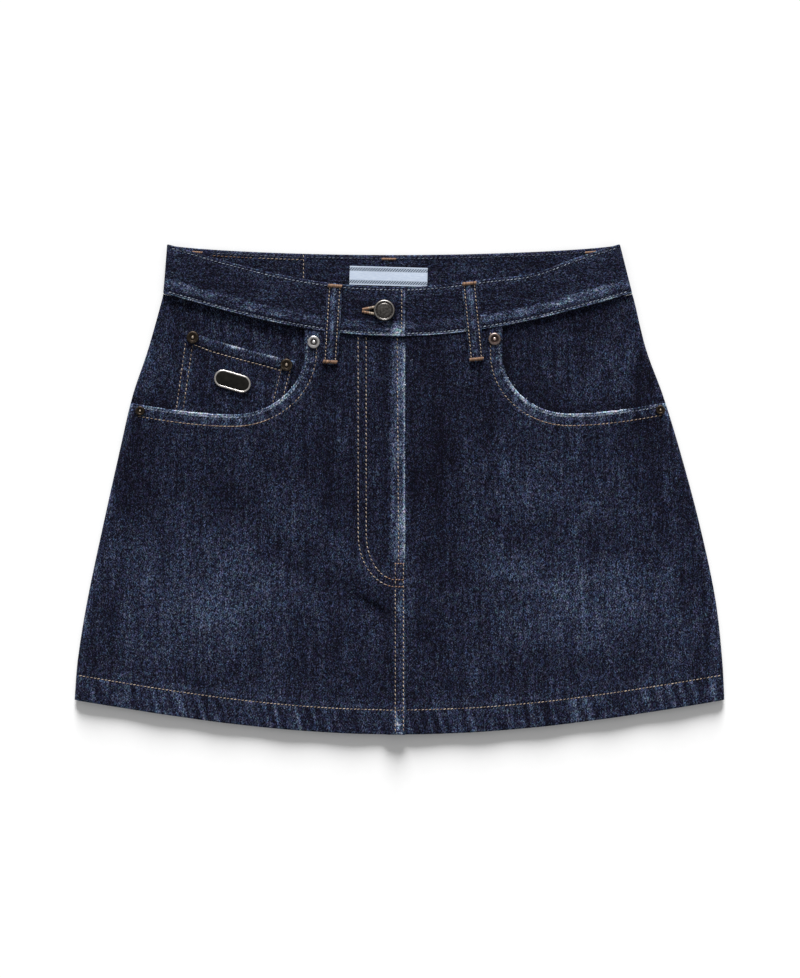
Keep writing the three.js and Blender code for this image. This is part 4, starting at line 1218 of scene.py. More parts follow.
def ribbon_finish():
    """Woven satin ribbon, pale blue: fine ribs along its length, and beside each long edge a twisted border
    of short slanting navy dashes between two plain lines."""
    finish, tree, shader = new_finish("pale woven satin")
    place_on = add(tree, "ShaderNodeTexCoord", {}).outputs["Object"]
    straight = scaled(tree, place_on, 1, 1, 1, -LABEL_TURN)
    axes = add(tree, "ShaderNodeSeparateXYZ", {"Vector": straight})
    middle = turned_by(-LABEL_TURN, *LABEL_MIDDLE)
    along = maths(tree, "SUBTRACT", axes.outputs["X"], middle[0])
    across = maths(tree, "SUBTRACT", axes.outputs["Y"], middle[1])
    off = maths(tree, "ABSOLUTE", across)
    rope_at = LABEL_HEIGHT / 2 - 2.45
    slant = maths(tree, "SUBTRACT", along, across)
    dash = maths(tree, "GREATER_THAN", maths(tree, "FRACT", maths(tree, "DIVIDE", slant, 2.05)), 0.42)
    dash = maths(tree, "ADD", maths(tree, "MULTIPLY", dash, 0.7), 0.22)
    rope = maths(tree, "COMPARE", off, rope_at, 1.15)
    beside_rope = maths(tree, "ABSOLUTE", maths(tree, "SUBTRACT", off, rope_at))
    line = maths(tree, "COMPARE", beside_rope, 1.4, 0.16)
    dark = maths(tree, "MAXIMUM", maths(tree, "MULTIPLY", rope, dash), maths(tree, "MULTIPLY", line, 0.55))
    rib = noise(tree, scaled(tree, place_on, 3, 0.35, 1, -LABEL_TURN), 2)
    ground = ramp_node(tree, rib, (0.3, (0.43, 0.51, 0.65)), (0.7, (0.57, 0.64, 0.745)))
    mix = add(tree, "ShaderNodeMix", {0: dark, 6: ground, 7: (0.016, 0.034, 0.06, 1)}, data_type="RGBA")
    tree.links.new(mix.outputs[2], shader.inputs["Base Color"])
    bump = add(tree, "ShaderNodeBump", {"Height": rib, "Strength": 0.4, "Distance": 0.12 * MM})
    tree.links.new(bump.outputs[0], shader.inputs["Normal"])
    shader.inputs["Roughness"].default_value = 0.5
    shader.inputs["Sheen Weight"].default_value = 0.1
    return finish


# Surfaces that stitches and trim lie on: z at x and y
def left_top(x, y):
    return left_front_surface(x, y, up_at(PLAIN_LEFT, x, y))


def right_top(x, y):
    return right_front_surface(x, y, up_at(PLAIN_LEFT, x, y))


def band_top(x, y):
    right = x > FRONT_EDGE_X
    up = np.where(right, up_at(RIGHT_BAND, x, y), up_at(LEFT_BAND, x, y))
    return np.where(right, BAND_LEVEL, lapped_band_level(x)) + band_relief(x, up)


def back_band_inside(x, y):
    return np.full(np.shape(x), BACK_BAND_LEVEL + BAND_THICK)


def back_under(x, y):
    return back_surface(x, y, up_at(BACK, x, y))


def back_band_under(x, y):
    return BACK_BAND_LEVEL - band_relief(x, up_at(BACK_BAND, x, y)) * 0.6


class Strip:
    """A belt loop's place: from the middle of its top end it runs down its length at a lean."""

    def __init__(self, top_x, top_y, lean):
        self.top = np.array([top_x, top_y])
        angle = math.radians(lean)
        self.down = np.array([math.sin(angle), -math.cos(angle)])
        self.right = np.array([math.cos(angle), math.sin(angle)])
        foot_x, foot_y = self.top + self.down * LOOP_LENGTH
        self.band_seat = max(self.seat(top_x, top_y), self.seat(top_x, top_y - BAND_HEIGHT))
        self.foot_seat = max(self.seat(foot_x, foot_y), self.seat(foot_x, foot_y + LOOP_WIDTH))

    def seat(self, x, y):
        places = x + np.array([-0.5, 0, 0.5]) * LOOP_WIDTH
        up = up_at(PLAIN_LEFT, places, np.full(3, y))
        left = x < FRONT_EDGE_X
        cloth = (left_front_level if left else front_level)(places, y, up)
        band = lapped_band_level(places) if left else np.full(3, float(BAND_LEVEL))
        return np.where(up > SEAM_SIDE, band, cloth).max()

    def at(self, along, across):
        """x and y at a distance down the loop and to the right of its middle line."""
        return self.top + np.multiply.outer(along, self.down) + np.multiply.outer(across, self.right)

    def low(self, share):
        rise = ramp(share, BAND_HEIGHT / LOOP_LENGTH, 1)
        return lerp(self.band_seat, self.foot_seat, rise) + loop_lift(share)

    def top_surface(self, x, y):
        """The loop's upper face: folded edges, two stitched grooves and a middle that stands up between."""
        away_x = x - self.top[0]
        away_y = y - self.top[1]
        along = away_x * self.down[0] + away_y * self.down[1]
        across = away_x * self.right[0] + away_y * self.right[1]
        rise = 0.25 * bell(across, 2) - 0.3 * bell(np.abs(across) - LOOP_ROW, 0.7)
        rise += 0.08 * swell(along, across, 5, 50)
        end = np.minimum(along, LOOP_LENGTH - along)
        rise -= 0.35 * ramp(end, 0.8, 0) + 0.55 * ramp(LOOP_WIDTH / 2 - np.abs(across), 0.9, 0)
        rise += 0.25 * bell(end - 2.2, 1.6)
        return self.low(along / LOOP_LENGTH) + LOOP_THICK + rise


LOOP_ROW = 4.1


def belt_loop_front(name, spot, finish):
    """A front belt loop, paler along its middle and its edges, with painted shade along its stitch grooves.
    Gives the piece and the strip it follows.
    """
    loop = Strip(*spot)
    along = np.linspace(LOOP_LENGTH, 0, 85)
    across = np.concatenate([[6.1, 5.95, 5.6], np.linspace(5, -5, 15), [-5.6, -5.95, -6.1]])
    down, over = np.meshgrid(along, across, indexing="xy")
    xy = loop.top + down[..., None] * loop.down + over[..., None] * loop.right
    top = loop.top_surface(xy[..., 0], xy[..., 1])
    under = loop.low(down / LOOP_LENGTH)
    points, faces = closed_shell(np.dstack([xy, top]), np.dstack([xy, under]), SHELL_STEP)
    piece = new_piece(name + "_cloth", points, faces, finish)
    xyz = points_of(piece)
    away = xyz[:, :2] - loop.top
    off = away @ loop.right
    run = away @ loop.down
    wear_and_shade = 0.2 + 0.3 * bell(off, 2.1) * (0.6 + 0.4 * swell(run, run * 0, 7, 51))
    wear_and_shade += 0.12 * bell(np.abs(off) - 5.8, 0.8)
    # Random tone, and darker along the two stitch grooves as painted shade
    wear_and_shade += 0.03 * swell(run, off, 4, 52) - 0.06 * bell(np.abs(off) - LOOP_ROW, 1)
    mark(piece, "wear_and_shade", np.clip(wear_and_shade, 0, 1))
    mark(piece, "inside", np.zeros(len(xyz)))
    return piece, loop


def belt_loop_back(name, spot, finish):
    """A back belt loop under the back: a flat strip with rounded edges between the table and the cloth."""
    x, lean = spot
    angle = math.radians(lean)
    top = np.array([x, height_at(BACK_BAND, np.array(x), np.array(WAIST_SIDE))])
    down = np.array([math.sin(angle), -math.cos(angle)])
    right = np.array([math.cos(angle), math.sin(angle)])
    along, across = np.meshgrid(np.linspace(LOOP_LENGTH, 0, 65), np.linspace(6.1, -6.1, 17), indexing="xy")
    xy = top + along[..., None] * down + across[..., None] * right
    rounded = 0.5 * ramp(LOOP_WIDTH / 2 - np.abs(across), 0.9, 0) + 0.3 * bell(np.abs(across) - LOOP_ROW, 0.7)
    upper = np.full(along.shape, float(LOOP_THICK)) - rounded * 0.6
    under = rounded * 0.6
    points, faces = closed_shell(np.dstack([xy, upper]), np.dstack([xy, under]), SHELL_STEP)
    piece = new_piece(name + "_cloth", points, faces, finish)
    xyz = points_of(piece)
    off = (xyz[:, :2] - top) @ right
    mark(piece, "wear_and_shade", 0.2 + 0.3 * bell(off, 2.1))
    mark(piece, "inside", np.zeros(len(xyz)))
    return piece


def label_piece(finish):
    """The satin label: a thin ribbon with slack swells, its ends folded under, sewn on a little askew."""
    half = (LABEL.right - LABEL.left) / 2 - 0.2
    along, across = np.meshgrid(
        np.linspace(half, -half, 81), np.linspace(-LABEL_HEIGHT / 2, LABEL_HEIGHT / 2, 25), indexing="ij",
    )
    x, y = turned_by(LABEL_TURN, along, across)
    x = x + LABEL_MIDDLE[0]
    y = y + LABEL_MIDDLE[1]
    low = BACK_BAND_LEVEL + BAND_THICK + GAP
    edge_gap = half - np.abs(along)
    rise = 0.12 * swell(x, y, 13, 53) + 0.1 + 0.25 * bell(edge_gap - 1.6, 1.2) - 0.25 * ramp(edge_gap, 0.6, 0)
    top = low + LABEL.thick + rise
    points, faces = closed_shell(np.stack([x, y, top], -1), np.stack([x, y, top * 0 + low], -1), SHELL_STEP)
    return new_piece("label_ribbon", points, faces, finish)


def stadium(length, height, count=14):
    """An oblong with round ends, anticlockwise."""
    reach = length / 2 - height / 2
    right = arc((reach, 0), (height / 2, height / 2), -90, 90, count)
    left = arc((-reach, 0), (height / 2, height / 2), 90, 270, count)
    return np.concatenate([right, left])


def stacked(outlines, levels):
    """Closed rings above one another as one solid: points, side faces and the two end faces."""
    count = len(outlines[0])
    points = np.concatenate([np.column_stack([ring, np.full(count, z)]) for ring, z in zip(outlines, levels)])
    ring = np.arange(count)
    after = np.roll(ring, -1)
    side = np.stack([ring, after, after + count, ring + count], -1)
    sides = [side + step * count for step in range(len(outlines) - 1)]
    return points, [ring[None, ::-1], np.concatenate(sides), (len(outlines) - 1) * count + ring[None]]


def badge_pieces(rim_finish, enamel):
    """The plain oblong plate: a bevelled metal rim, and a field of enamel that domes a little inside it."""
    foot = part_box("badge")[0][2] / MM
    angle = math.radians(BADGE.tilt)
    turn = np.array([[math.cos(angle), math.sin(angle)], [-math.sin(angle), math.cos(angle)]])

    def settled(points):
        points = points.copy()
        points[:, :2] = points[:, :2] @ turn + (BADGE.x, BADGE.y)
        return points

    insets = [0.3, 0, 0, 0.25, 0.6, 1.1, 1.35, 1.4]
    levels = [0, 0.3, 0.9, 1.25, 1.4, 1.38, 1.2, 0.8]
    rings = [stadium(BADGE.length - 2 * inset, BADGE.height - 2 * inset) for inset in insets]
    points, faces = stacked(rings, [foot + level for level in levels])
    rim = new_piece("badge_rim", settled(points), faces, rim_finish, 40)
    mark(rim, "wear_and_shade", np.full(len(rim.data.vertices), 0.7))
    insets = [1.42, 1.42, 1.9, 2.8, 4.2, 5.6]
    levels = [0.82, 1.05, 1.16, 1.24, 1.3, 1.32]
    rings = [stadium(BADGE.length - 2 * inset, BADGE.height - 2 * inset) for inset in insets]
    points, faces = stacked(rings, [foot + level for level in levels])
    field = new_piece("badge_enamel", settled(points), faces, enamel, 60)
    return rim, field


def turned(name, profile, segments, centre, finish, smooth_below=35, wave=None):
    """A profile of radius and height turned about the vertical through centre. `wave` gives an extra height
    for each radius and angle."""
    profile = np.array(profile, float)
    angle = 2 * math.pi * np.arange(segments) / segments
    radius = profile[1:-1, 0][:, None]
    height = profile[1:-1, 1][:, None] + np.zeros(segments)
    if wave is not None:
        height = height + wave(radius, angle)
    rings = np.stack([radius * np.cos(angle), radius * np.sin(angle), height], -1)
    count = len(rings) * segments
    points = np.concatenate([rings.reshape(-1, 3), [[0, 0, profile[0, 1]], [0, 0, profile[-1, 1]]]])
    ring = np.arange(segments)
    after = np.roll(ring, -1)
    sides = [
        np.stack([ring, after, after + segments, ring + segments], -1) + step * segments
        for step in range(len(rings) - 1)
    ]
    last = (len(rings) - 1) * segments
    caps = np.concatenate([
        np.stack([after, ring, np.full(segments, count)], -1),
        np.stack([ring + last, after + last, np.full(segments, count + 1)], -1),
    ])
    return new_piece(name, points + np.array(centre), [np.concatenate(sides), caps], finish, smooth_below)


def button_piece(finish):
    """The shank button: a cap with a rolled rim, a ring of small plain notches and a shallow domed middle."""
    low, high = (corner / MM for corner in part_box("button"))
    cap = high[2] - 3
    foot = low[2]

    def notches(radius, angle):
        return -0.22 * bell(radius - 6.35, 0.45) * ramp(np.cos(18 * angle), 0.1, 0.8)

    profile = [(0, foot), (2.3, foot), (2.3, cap), (7.3, cap), (8.1, cap + 0.5), (8.5, cap + 1.2),
               (8.45, cap + 1.9), (8.1, cap + 2.55), (7.7, cap + 2.9), (7.3, cap + 2.98),
               (6.95, cap + 2.8), (6.7, cap + 2.5),
               (6.5, cap + 2.42), (6.3, cap + 2.42), (6.1, cap + 2.42), (5.85, cap + 2.42), (5.6, cap + 2.48),
               (5.45, cap + 2.68), (5.2, cap + 2.78), (4, cap + 2.88), (2, cap + 2.95), (0, cap + 2.97)]
    piece = turned("button_metal", profile, 144, (BUTTON_X, BUTTON_Y, 0), finish, 40, notches)
    xyz = points_of(piece)
    radius = np.hypot(xyz[:, 0] - BUTTON_X, xyz[:, 1] - BUTTON_Y)
    wear_and_shade = 0.2 + 0.3 * bell(radius - 7.6, 0.35) + 0.02 * bell(radius - 5.35, 0.3)
    wear_and_shade -= 0.12 * bell(radius - 6.3, 0.5)
    mark(piece, "wear_and_shade", wear_and_shade)
    return piece


def rivet_piece(name, bright, finish):
    """A rivet: a rolled rim, a dished ring and a small round nub in the middle."""
    low, high = (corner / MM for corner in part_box(name))
    radius = (high[0] - low[0]) / 2
    centre = ((low[0] + high[0]) / 2, (low[1] + high[1]) / 2, low[2])
    profile = [(0, 0), (0.95, 0), (1, 0.3), (0.99, 0.7), (0.95, 1), (0.88, 1.2), (0.78, 1.3), (0.66, 1.22),
               (0.56, 1.02), (0.46, 0.8), (0.38, 0.68), (0.33, 0.66), (0.3, 0.8), (0.28, 1.15), (0.22, 1.45),
               (0.12, 1.6), (0, 1.65)]
    profile = [(share * radius, height) for share, height in profile]
    piece = turned(name + "_metal", profile, 64, centre, finish, 45)
    xyz = points_of(piece)
    out = np.hypot(xyz[:, 0] - centre[0], xyz[:, 1] - centre[1]) / radius
    wear_and_shade = bright + 0.14 * bell(out - 0.82, 0.12) - 0.5 * bell(out - 0.42, 0.14) + 0.8 * bell(out, 0.2)
    mark(piece, "wear_and_shade", np.clip(wear_and_shade, 0, 1))
    return piece


# Sewing
STITCH_RADIUS = 0.34
STITCH_SHARE = 0.74


class Sewing:
    """Gathers stitches of one thread, to make them one piece. A stitch is a little capsule: rings of six
    points whose middle line arches out of the cloth and whose ends sink into it."""

    def __init__(self, seed):
        self.random = np.random.default_rng(seed)
        self.points = []
        self.faces = []
        self.shades = []
        self.count = 0

    def row(self, surface, path, pitch, shade=0.5, radius=STITCH_RADIUS, side=1, share=STITCH_SHARE,
            lean=0.2):
        """Stitches at an even pitch along a path, on a surface, all leaning a little out of the line of the
        row. side is -1 on a face that looks down."""
        path = np.asarray(path, float)
        gone = np.concatenate([[0], np.cumsum(np.hypot(*np.diff(path, axis=0).T))])
        number = max(1, round(gone[-1] / pitch))
        centre = (np.arange(number) + 0.5) * gone[-1] / number
        half = gone[-1] / number * share / 2
        jitter = self.random.uniform(-0.05, 0.05, number) * pitch

        def spot(at):
            return np.column_stack([np.interp(at, gone, path[:, 0]), np.interp(at, gone, path[:, 1])])

        ends = [spot(centre + jitter - half), spot(centre + jitter + half)]
        level = surface(*spot(centre + jitter).T)
        self.bars(ends[0], ends[1], level, shade, radius, side, lean=lean)

    def bars(self, start, stop, level, shade, radius, side=1, arch=1.0, lean=0.0):
        """One capsule from each start to its stop, with its middle at a level."""
        number = len(start)
        share = np.array([0, 0.12, 0.5, 0.88, 1])
        width = np.array([0.35, 0.9, 1, 0.9, 0.35])
        lift = (np.array([-1, 0.05, 0.75, 0.05, -1]) * arch) * radius
        turn = 2 * math.pi * np.arange(6) / 6
        ahead = stop - start
        length = np.hypot(*ahead.T)
        ahead = ahead / length[:, None]
        across = np.column_stack([-ahead[:, 1], ahead[:, 0]])
        lean = (lean + self.random.uniform(-0.07, 0.07, number)) * length
        middle = start[:, None] + (stop - start)[:, None] * share[None, :, None]
        middle = middle + across[:, None] * (lean[:, None] * (share - 0.5))[..., None]
        size = radius * width[None, :, None] * self.random.uniform(0.88, 1.12, number)[:, None, None]
        ring_across = np.cos(turn) * size
        ring_up = np.sin(turn) * size
        xy = middle[:, :, None] + across[:, None, None] * ring_across[..., None]
        z = level[:, None, None] + side * (lift[None, :, None] + ring_up)
        points = np.concatenate([xy, z[..., None]], -1)
        base = self.count + np.arange(number)[:, None, None, None] * 30
        ring = np.arange(6)
        after = np.roll(ring, -1)
        step = np.arange(4)[:, None] * 6
        quad = np.stack([step + ring, step + 6 + ring, step + 6 + after, step + after], -1)
        if side < 0:
            quad = quad[..., ::-1]
        quads = (base + quad[None]).reshape(-1, 4)
        caps = np.stack([ring, ring[::-1] + 24])
        if side < 0:
            caps = caps[:, ::-1]
        caps = (self.count + np.arange(number)[:, None, None] * 30 + caps[None]).reshape(-1, 6)
        shades = np.clip(shade + self.random.normal(0, 0.2, number), 0, 1)
        self.points.append(points.reshape(-1, 3))
        self.faces.append((quads, caps))
        self.shades.append(np.repeat(shades, 30))
        self.count += number * 30

    def bar_tack(self, surface, start, stop, width=2.0, shade=0.6, step=0.42, radius=0.3):
        """A bar tack: threads laid side by side across a line, each a little uneven."""
        start = np.array(start, float)
        stop = np.array(stop, float)
        length = math.hypot(*(stop - start))
        number = max(3, round(length / step))
        ahead = (stop - start) / length
        across = np.array([-ahead[1], ahead[0]])
        middle = start + np.outer((np.arange(number) + 0.5) / number, stop - start)
        reach = width / 2 * self.random.uniform(0.85, 1.12, number)[:, None]
        slant = ahead * 0.25
        level = np.full(number, np.max(surface(*middle.T))) + 0.12
        self.bars(middle - reach * (across + slant), middle + reach * (across + slant), level, shade, radius)

    def piece(self, name, finish):
        """Joins all the stitches to one piece with a shade for each."""
        quads = np.concatenate([pair[0] for pair in self.faces])
        caps = np.concatenate([pair[1] for pair in self.faces])
        made = new_piece(name, np.concatenate(self.points), [quads, caps], finish, 80)
        mark(made, "shade", np.concatenate(self.shades))
        return made


def on_line(face, up, start, stop, step=4):
    """A path along the line `up` of a face, between two x."""
    x = np.linspace(start, stop, max(2, round(abs(stop - start) / step)) + 1)
    return np.column_stack([x, height_at(face, x, np.full(len(x), float(up)))])


def clipped(path, keep):
    """The part of a path whose points pass a test."""
    return path[keep(path[:, 0], path[:, 1])]


def sew_front(tan, orange, pale):
    """The rows of the two fronts: hem, fly, felled seam, box tack and pocket edges."""
    hem = HEM_SIDE + HEM_HEIGHT
    tan.row(left_top, on_line(PLAIN_LEFT, hem, left_edge(hem) + 2.5, FRONT_EDGE_X - 1), 2.9, 0.5)
    tan.row(right_top, on_line(PLAIN_RIGHT, hem, FRONT_EDGE_X + 1, right_edge(hem) - 2.5), 2.9, 0.5)
    tan.row(left_top, FLY_EDGE_ROW, 3.5, 0.6)
    for row in (FLY_OUTER, FLY_INNER):
        tan.row(left_top, clipped(row, lambda x, y: x < -9), 3.5, 0.62)
        orange.row(left_top, clipped(row, lambda x, y: (x > -12) & (y < -60)), 2.6, 0.6)
        orange.row(left_top, [(-3.6, row[-1, 1] + 0.2), (3.4, row[-1, 1] + 0.2)], 2.4, 0.7, 0.42)
    foot = height_at(PLAIN_LEFT, np.array(0.0), np.array(HEM_SIDE))
    for x in FELL_ROWS_X:
        tan.row(left_top, [(x, -59), (x, foot + 2.2)], 3.5, 0.55)
    left, right, top, low = BOX_TACK
    orange.row(left_top, [(left, top), (right, top)], 2.2, 0.65, 0.4)
    for edge, side, surface in ((EDGE_LEFT, 1, left_top), (EDGE_RIGHT, -1, right_top)):
        inner = beside(edge, side * POCKET_ROWS[0])
        outer = beside(edge, side * POCKET_ROWS[1])

        def on_front(x, y):
            up = up_at(PLAIN_LEFT, x, y)
            return (up < SEAM_SIDE - 1.5) & (x > left_edge(up) + 4) & (x < right_edge(up) - 4)

        pale.row(surface, clipped(inner, on_front), 3.0, 0.35)
        outer = clipped(outer, on_front)
        tan.row(surface, outer, 3.3, 0.45)
        orange.row(surface, outer[len(outer) // 2:], 3.3, 0.35, 0.3)


def sew_band(tan, orange, pale):
    """The rows along both edges of the band, its end row, and what shows inside the back of it."""
    for up in BAND_ROWS:
        pale.row(band_top, on_line(LEFT_BAND, up, left_edge(up) + 4, FRONT_EDGE_X - 1.6, 3), 3.2, 0.45)
        pale.row(band_top, on_line(RIGHT_BAND, up, FRONT_EDGE_X + 1.2, right_edge(up) - 4, 3), 3.2, 0.45)
        behind = on_line(BACK_BAND, up, left_edge(up) + 6, right_edge(up) - 6)
        tan.row(back_band_under, behind, 3.2, 0.5, side=-1)
    end_x = FRONT_EDGE_X - 2.8
    ends = [height_at(LEFT_BAND, np.array(end_x), np.array(up)) for up in BAND_ROWS]
    tan.row(band_top, [(end_x, ends[1]), (end_x, ends[0])], 3.2, 0.55)
    seam = on_line(BACK_BAND, WAIST_SIDE - 5, -150, -77)
    orange.row(back_band_inside, seam[:len(seam) // 2], 3.2, 0.3, 0.3)
    tan.row(back_band_inside, seam[len(seam) // 2:], 3.2, 0.45, 0.3)
    tan.row(back_band_inside, [(-76.8, 188), (-76.8, 168)], 3.2, 0.6, 0.3)
    pale.row(back_band_inside, on_line(BACK_BAND, WAIST_SIDE - 3, -150, 150), 3.4, 0.05, 0.26)
    for left, right, drop in ((-14.2, -2.8, 3.4), (148.6, 157.2, 3.2), (-166, -158, 3.2)):
        path = on_line(BACK_BAND, WAIST_SIDE - drop, left, right)
        orange.bar_tack(back_band_inside, path[0], path[-1], 1.9, 0.6)


def sew_back(tan):
    """The hem row of the back, on the face that looks down."""
    hem = BACK_HEM_SIDE + HEM_HEIGHT
    tan.row(back_under, on_line(BACK, hem, left_edge(hem) + 8, right_edge(hem) - 8), 2.9, 0.5, 0.22, side=-1)


def sew_coin(tan):
    """The rows of the coin pocket: the one along its hem, and those down its sides."""
    at = np.linspace(0, 4, 30)
    hem_row = np.column_stack([np.interp(at, np.arange(5), COIN_HEM_ROW[:, k]) for k in (0, 1)])
    tan.row(coin_surface, hem_row - (0, 0.6), 3.2, 0.5)
    for row in COIN_ROWS[1:]:
        tan.row(coin_surface, row, 3.4, 0.45)


def sew_loops(tan, orange, loops):
    """Two rows along each front loop, and a bar tack across each of its ends."""
    for loop in loops:
        for across in (-LOOP_ROW, LOOP_ROW):
            tan.row(loop.top_surface, [loop.at(3, across), loop.at(LOOP_LENGTH - 3, across)], 3.0, 0.62)
        for along in (2.2, LOOP_LENGTH - 2.2):
            orange.bar_tack(loop.top_surface, loop.at(along, -5.6), loop.at(along, 5.6), 2.7, 0.5)


def sew_buttonhole(tan, orange):
    """Purl stitches close together round the buttonhole: tan along its sides, orange at its outer end."""
    ring = buttonhole(0.15)
    ring = np.concatenate([ring, ring[:1]])
    gone = np.concatenate([[0], np.cumsum(np.hypot(*np.diff(ring, axis=0).T))])
    at = np.arange(0, gone[-1], 0.5)
    spot = np.column_stack([np.interp(at, gone, ring[:, k]) for k in (0, 1)])
    ahead = np.gradient(spot, axis=0)
    ahead /= np.linalg.norm(ahead, axis=1)[:, None]
    out = np.column_stack([ahead[:, 1], -ahead[:, 0]])
    level = band_top(*(spot + out).T) + 0.35
    tail = spot[:, 0] < spot[:, 0].min() + 5
    for thread, part, shade in ((tan, ~tail, 0.55), (orange, tail, 0.6)):
        thread.bars(spot[part] - 0.15 * out[part], spot[part] + 1.9 * out[part], level[part], shade, 0.36)


def lip(name, edge, side, level, finish):
    """The folded edge of a pocket opening: a soft roll carried along the edge, uneven where it is frayed."""
    gone = np.concatenate([[0], np.cumsum(np.hypot(*np.diff(edge, axis=0).T))])
    at = np.arange(0, gone[-1], 0.9)
    spot = np.column_stack([np.interp(at, gone, edge[:, k]) for k in (0, 1)])
    up = up_at(PLAIN_LEFT, *spot.T)
    keep = (up < SEAM_SIDE - GAP) & (spot[:, 0] > left_edge(up) + 2) & (spot[:, 0] < right_edge(up) - 2)
    spot = spot[keep]
    at = at[keep]
    ahead = np.gradient(spot, axis=0)
    ahead /= np.linalg.norm(ahead, axis=1)[:, None]
    inward = side * np.column_stack([-ahead[:, 1], ahead[:, 0]])
    bleach = lip_bleach(-1 if side > 0 else 1, at)
    radius = 0.66 + 0.1 * swell(at, at * 0, 4, 55) + 0.16 * bleach
    middle = spot + inward * (0.35 - 0.25 * swell(at, at * 0, 2.6, 56) * bleach)[:, None]
    height = level(*middle.T) - 0.35
    turn = 2 * math.pi * np.arange(10) / 10
    xy = middle[:, None] + inward[:, None] * (radius[:, None] * np.cos(turn))[..., None]
    z = height[:, None] + radius[:, None] * np.sin(turn)
    points = np.concatenate([xy, z[..., None]], -1)
    numbers = np.arange(len(at) * 10).reshape(len(at), 10)
    numbers = np.concatenate([numbers, numbers[:, :1]], 1)
    corners = [numbers[:-1, :-1], numbers[:-1, 1:], numbers[1:, 1:], numbers[1:, :-1]]
    quads = np.stack(corners, -1).reshape(-1, 4)
    caps = np.stack([numbers[0, :-1][::-1], numbers[-1, :-1]])
    if side < 0:
        quads = quads[:, ::-1]
        caps = caps[:, ::-1]
    piece = new_piece(name, points, [quads, caps], finish, 80)
    worn = 0.28 + 0.1 * swell(at, at * 0, 5, 57) + 0.85 * bleach * (0.75 + 0.25 * swell(at, at * 0, 2, 58))
    mark(piece, "wear_and_shade", np.repeat(np.clip(worn, 0, 1), 10))
    mark(piece, "inside", np.zeros(len(points.reshape(-1, 3))))
    return piece


def frayed_hairs(finish):
    """Short loose fibres in tufts where the cloth is worn through: along the pocket edges, on the coin
    pocket's fold and on the fly's edge."""
    random = np.random.default_rng(70)
    tufts = [(FRONT_EDGE_X - 0.4, 83.5, 10, 1.2, left_top), (-130.6, 113.4, 12, 2.6, coin_surface)]
    for edge, at, number, surface in (
        (EDGE_LEFT, 152, 30, left_top), (EDGE_LEFT, 85, 14, left_top), (EDGE_RIGHT, 76, 18, right_top),
        (EDGE_RIGHT, 122, 26, right_top), (EDGE_RIGHT, 158, 18, right_top),
    ):
        gone = np.concatenate([[0], np.cumsum(np.hypot(*np.diff(edge, axis=0).T))])
        for spread in np.linspace(-14, 14, 5):
            x, y = (np.interp(at + spread, gone, edge[:, k]) for k in (0, 1))
            tufts.append((x, y, number // 8, 2.2, surface))
    hairs = Sewing(71)
    for x, y, number, reach, surface in tufts:
        start = np.array([x, y]) + random.normal(0, reach / 2, (number, 2)) * (1, 0.4)
        angle = random.uniform(0, 2 * math.pi, number)
        length = random.uniform(0.7, 1.8, number)
        stop = start + np.column_stack([np.cos(angle), 0.5 * np.sin(angle)]) * length[:, None]
        level = np.full(number, float(np.max(surface(start[:, 0], start[:, 1])))) + 0.15
        hairs.bars(start, stop, level, 0.7, 0.11, arch=0.6)
    return hairs.piece("frayed_fibres", finish)


def area_between(face, low, high, left, right):
    """Flat area in square metres between two heights and two edges, each a function of the height."""
    up = np.linspace(low, high, 60)
    width = right(up) - left(up)
    return float(np.sum((width[1:] + width[:-1]) / 2 * np.diff(up))) * MM * MM


# Finishes
indigo = denim("indigo twill")
indigo_across = denim("indigo twill cut across", 90)
thread_tan = thread_finish("tan thread", (0.085, 0.06, 0.045), (0.43, 0.35, 0.27))
thread_orange = thread_finish("orange thread", (0.085, 0.045, 0.026), (0.29, 0.17, 0.105))
thread_pale = thread_finish("pale blue thread", (0.045, 0.052, 0.078), (0.28, 0.32, 0.38))
fibre = thread_finish("frayed cotton fibre", (0.35, 0.42, 0.5), (0.75, 0.8, 0.85))
pewter = metal("dark pewter", (0.05, 0.045, 0.042), (0.62, 0.59, 0.56), 0.36)
steel = metal("bright steel", (0.06, 0.055, 0.055), (0.82, 0.8, 0.79), 0.3)
bronze = metal("dull bronze", (0.03, 0.022, 0.016), (0.6, 0.5, 0.4), 0.38)
copper = metal("worn copper", (0.045, 0.028, 0.024), (0.66, 0.52, 0.47), 0.36)

# Cloth
left_panel = place(front_panel(-1, indigo), "denim", "front_panel_left")
right_panel = place(front_panel(1, indigo), "denim", "front_panel_right")
back = place(back_panel(indigo), "denim", "back_panel")
left_facing = place(facing(-1, indigo), "denim", "pocket_facing_left")
right_facing = place(facing(1, indigo), "denim", "pocket_facing_right")
coin = place(coin_pocket(indigo), "denim", "coin_pocket")
band = place(waistband(indigo_across), "denim", "waistband")
left_lip = place(lip("pocket_left_folded_edge", EDGE_LEFT, 1, left_top, indigo), "denim")
right_lip = place(lip("pocket_right_folded_edge", EDGE_RIGHT, -1, right_top, indigo), "denim")
loops = []
for name, spot in FRONT_LOOPS.items():
    piece, loop = belt_loop_front(name, spot, indigo)
    place(piece, "worn_denim", name)
    loops.append(loop)
for name, spot in BACK_LOOPS.items():
    place(belt_loop_back(name, spot, indigo), "worn_denim", name)
ribbon = place(label_piece(ribbon_finish()), "label_satin", "label")

# Metal
badge_rim, badge_field = badge_pieces(pewter, enamel_finish())
place(badge_rim, "black_enamel", "badge")
place(badge_field, "black_enamel")
place(button_piece(pewter), "pewter", "button")
RIVETS = {
    "rivet_pocket_left_mouth": (0.5, steel, "bright_steel"),
    "rivet_pocket_left_side": (0.03, bronze, "bronze"),
    "rivet_coin_pocket_left": (0.05, bronze, "bronze"),
    "rivet_coin_pocket_right": (0.07, bronze, "bronze"),
    "rivet_pocket_right_mouth": (0.26, copper, "bronze"),
    "rivet_pocket_right_side": (0.02, bronze, "bronze"),
}
for name, (bright, finish, slot) in RIVETS.items():
    place(rivet_piece(name, bright, finish), slot, name)

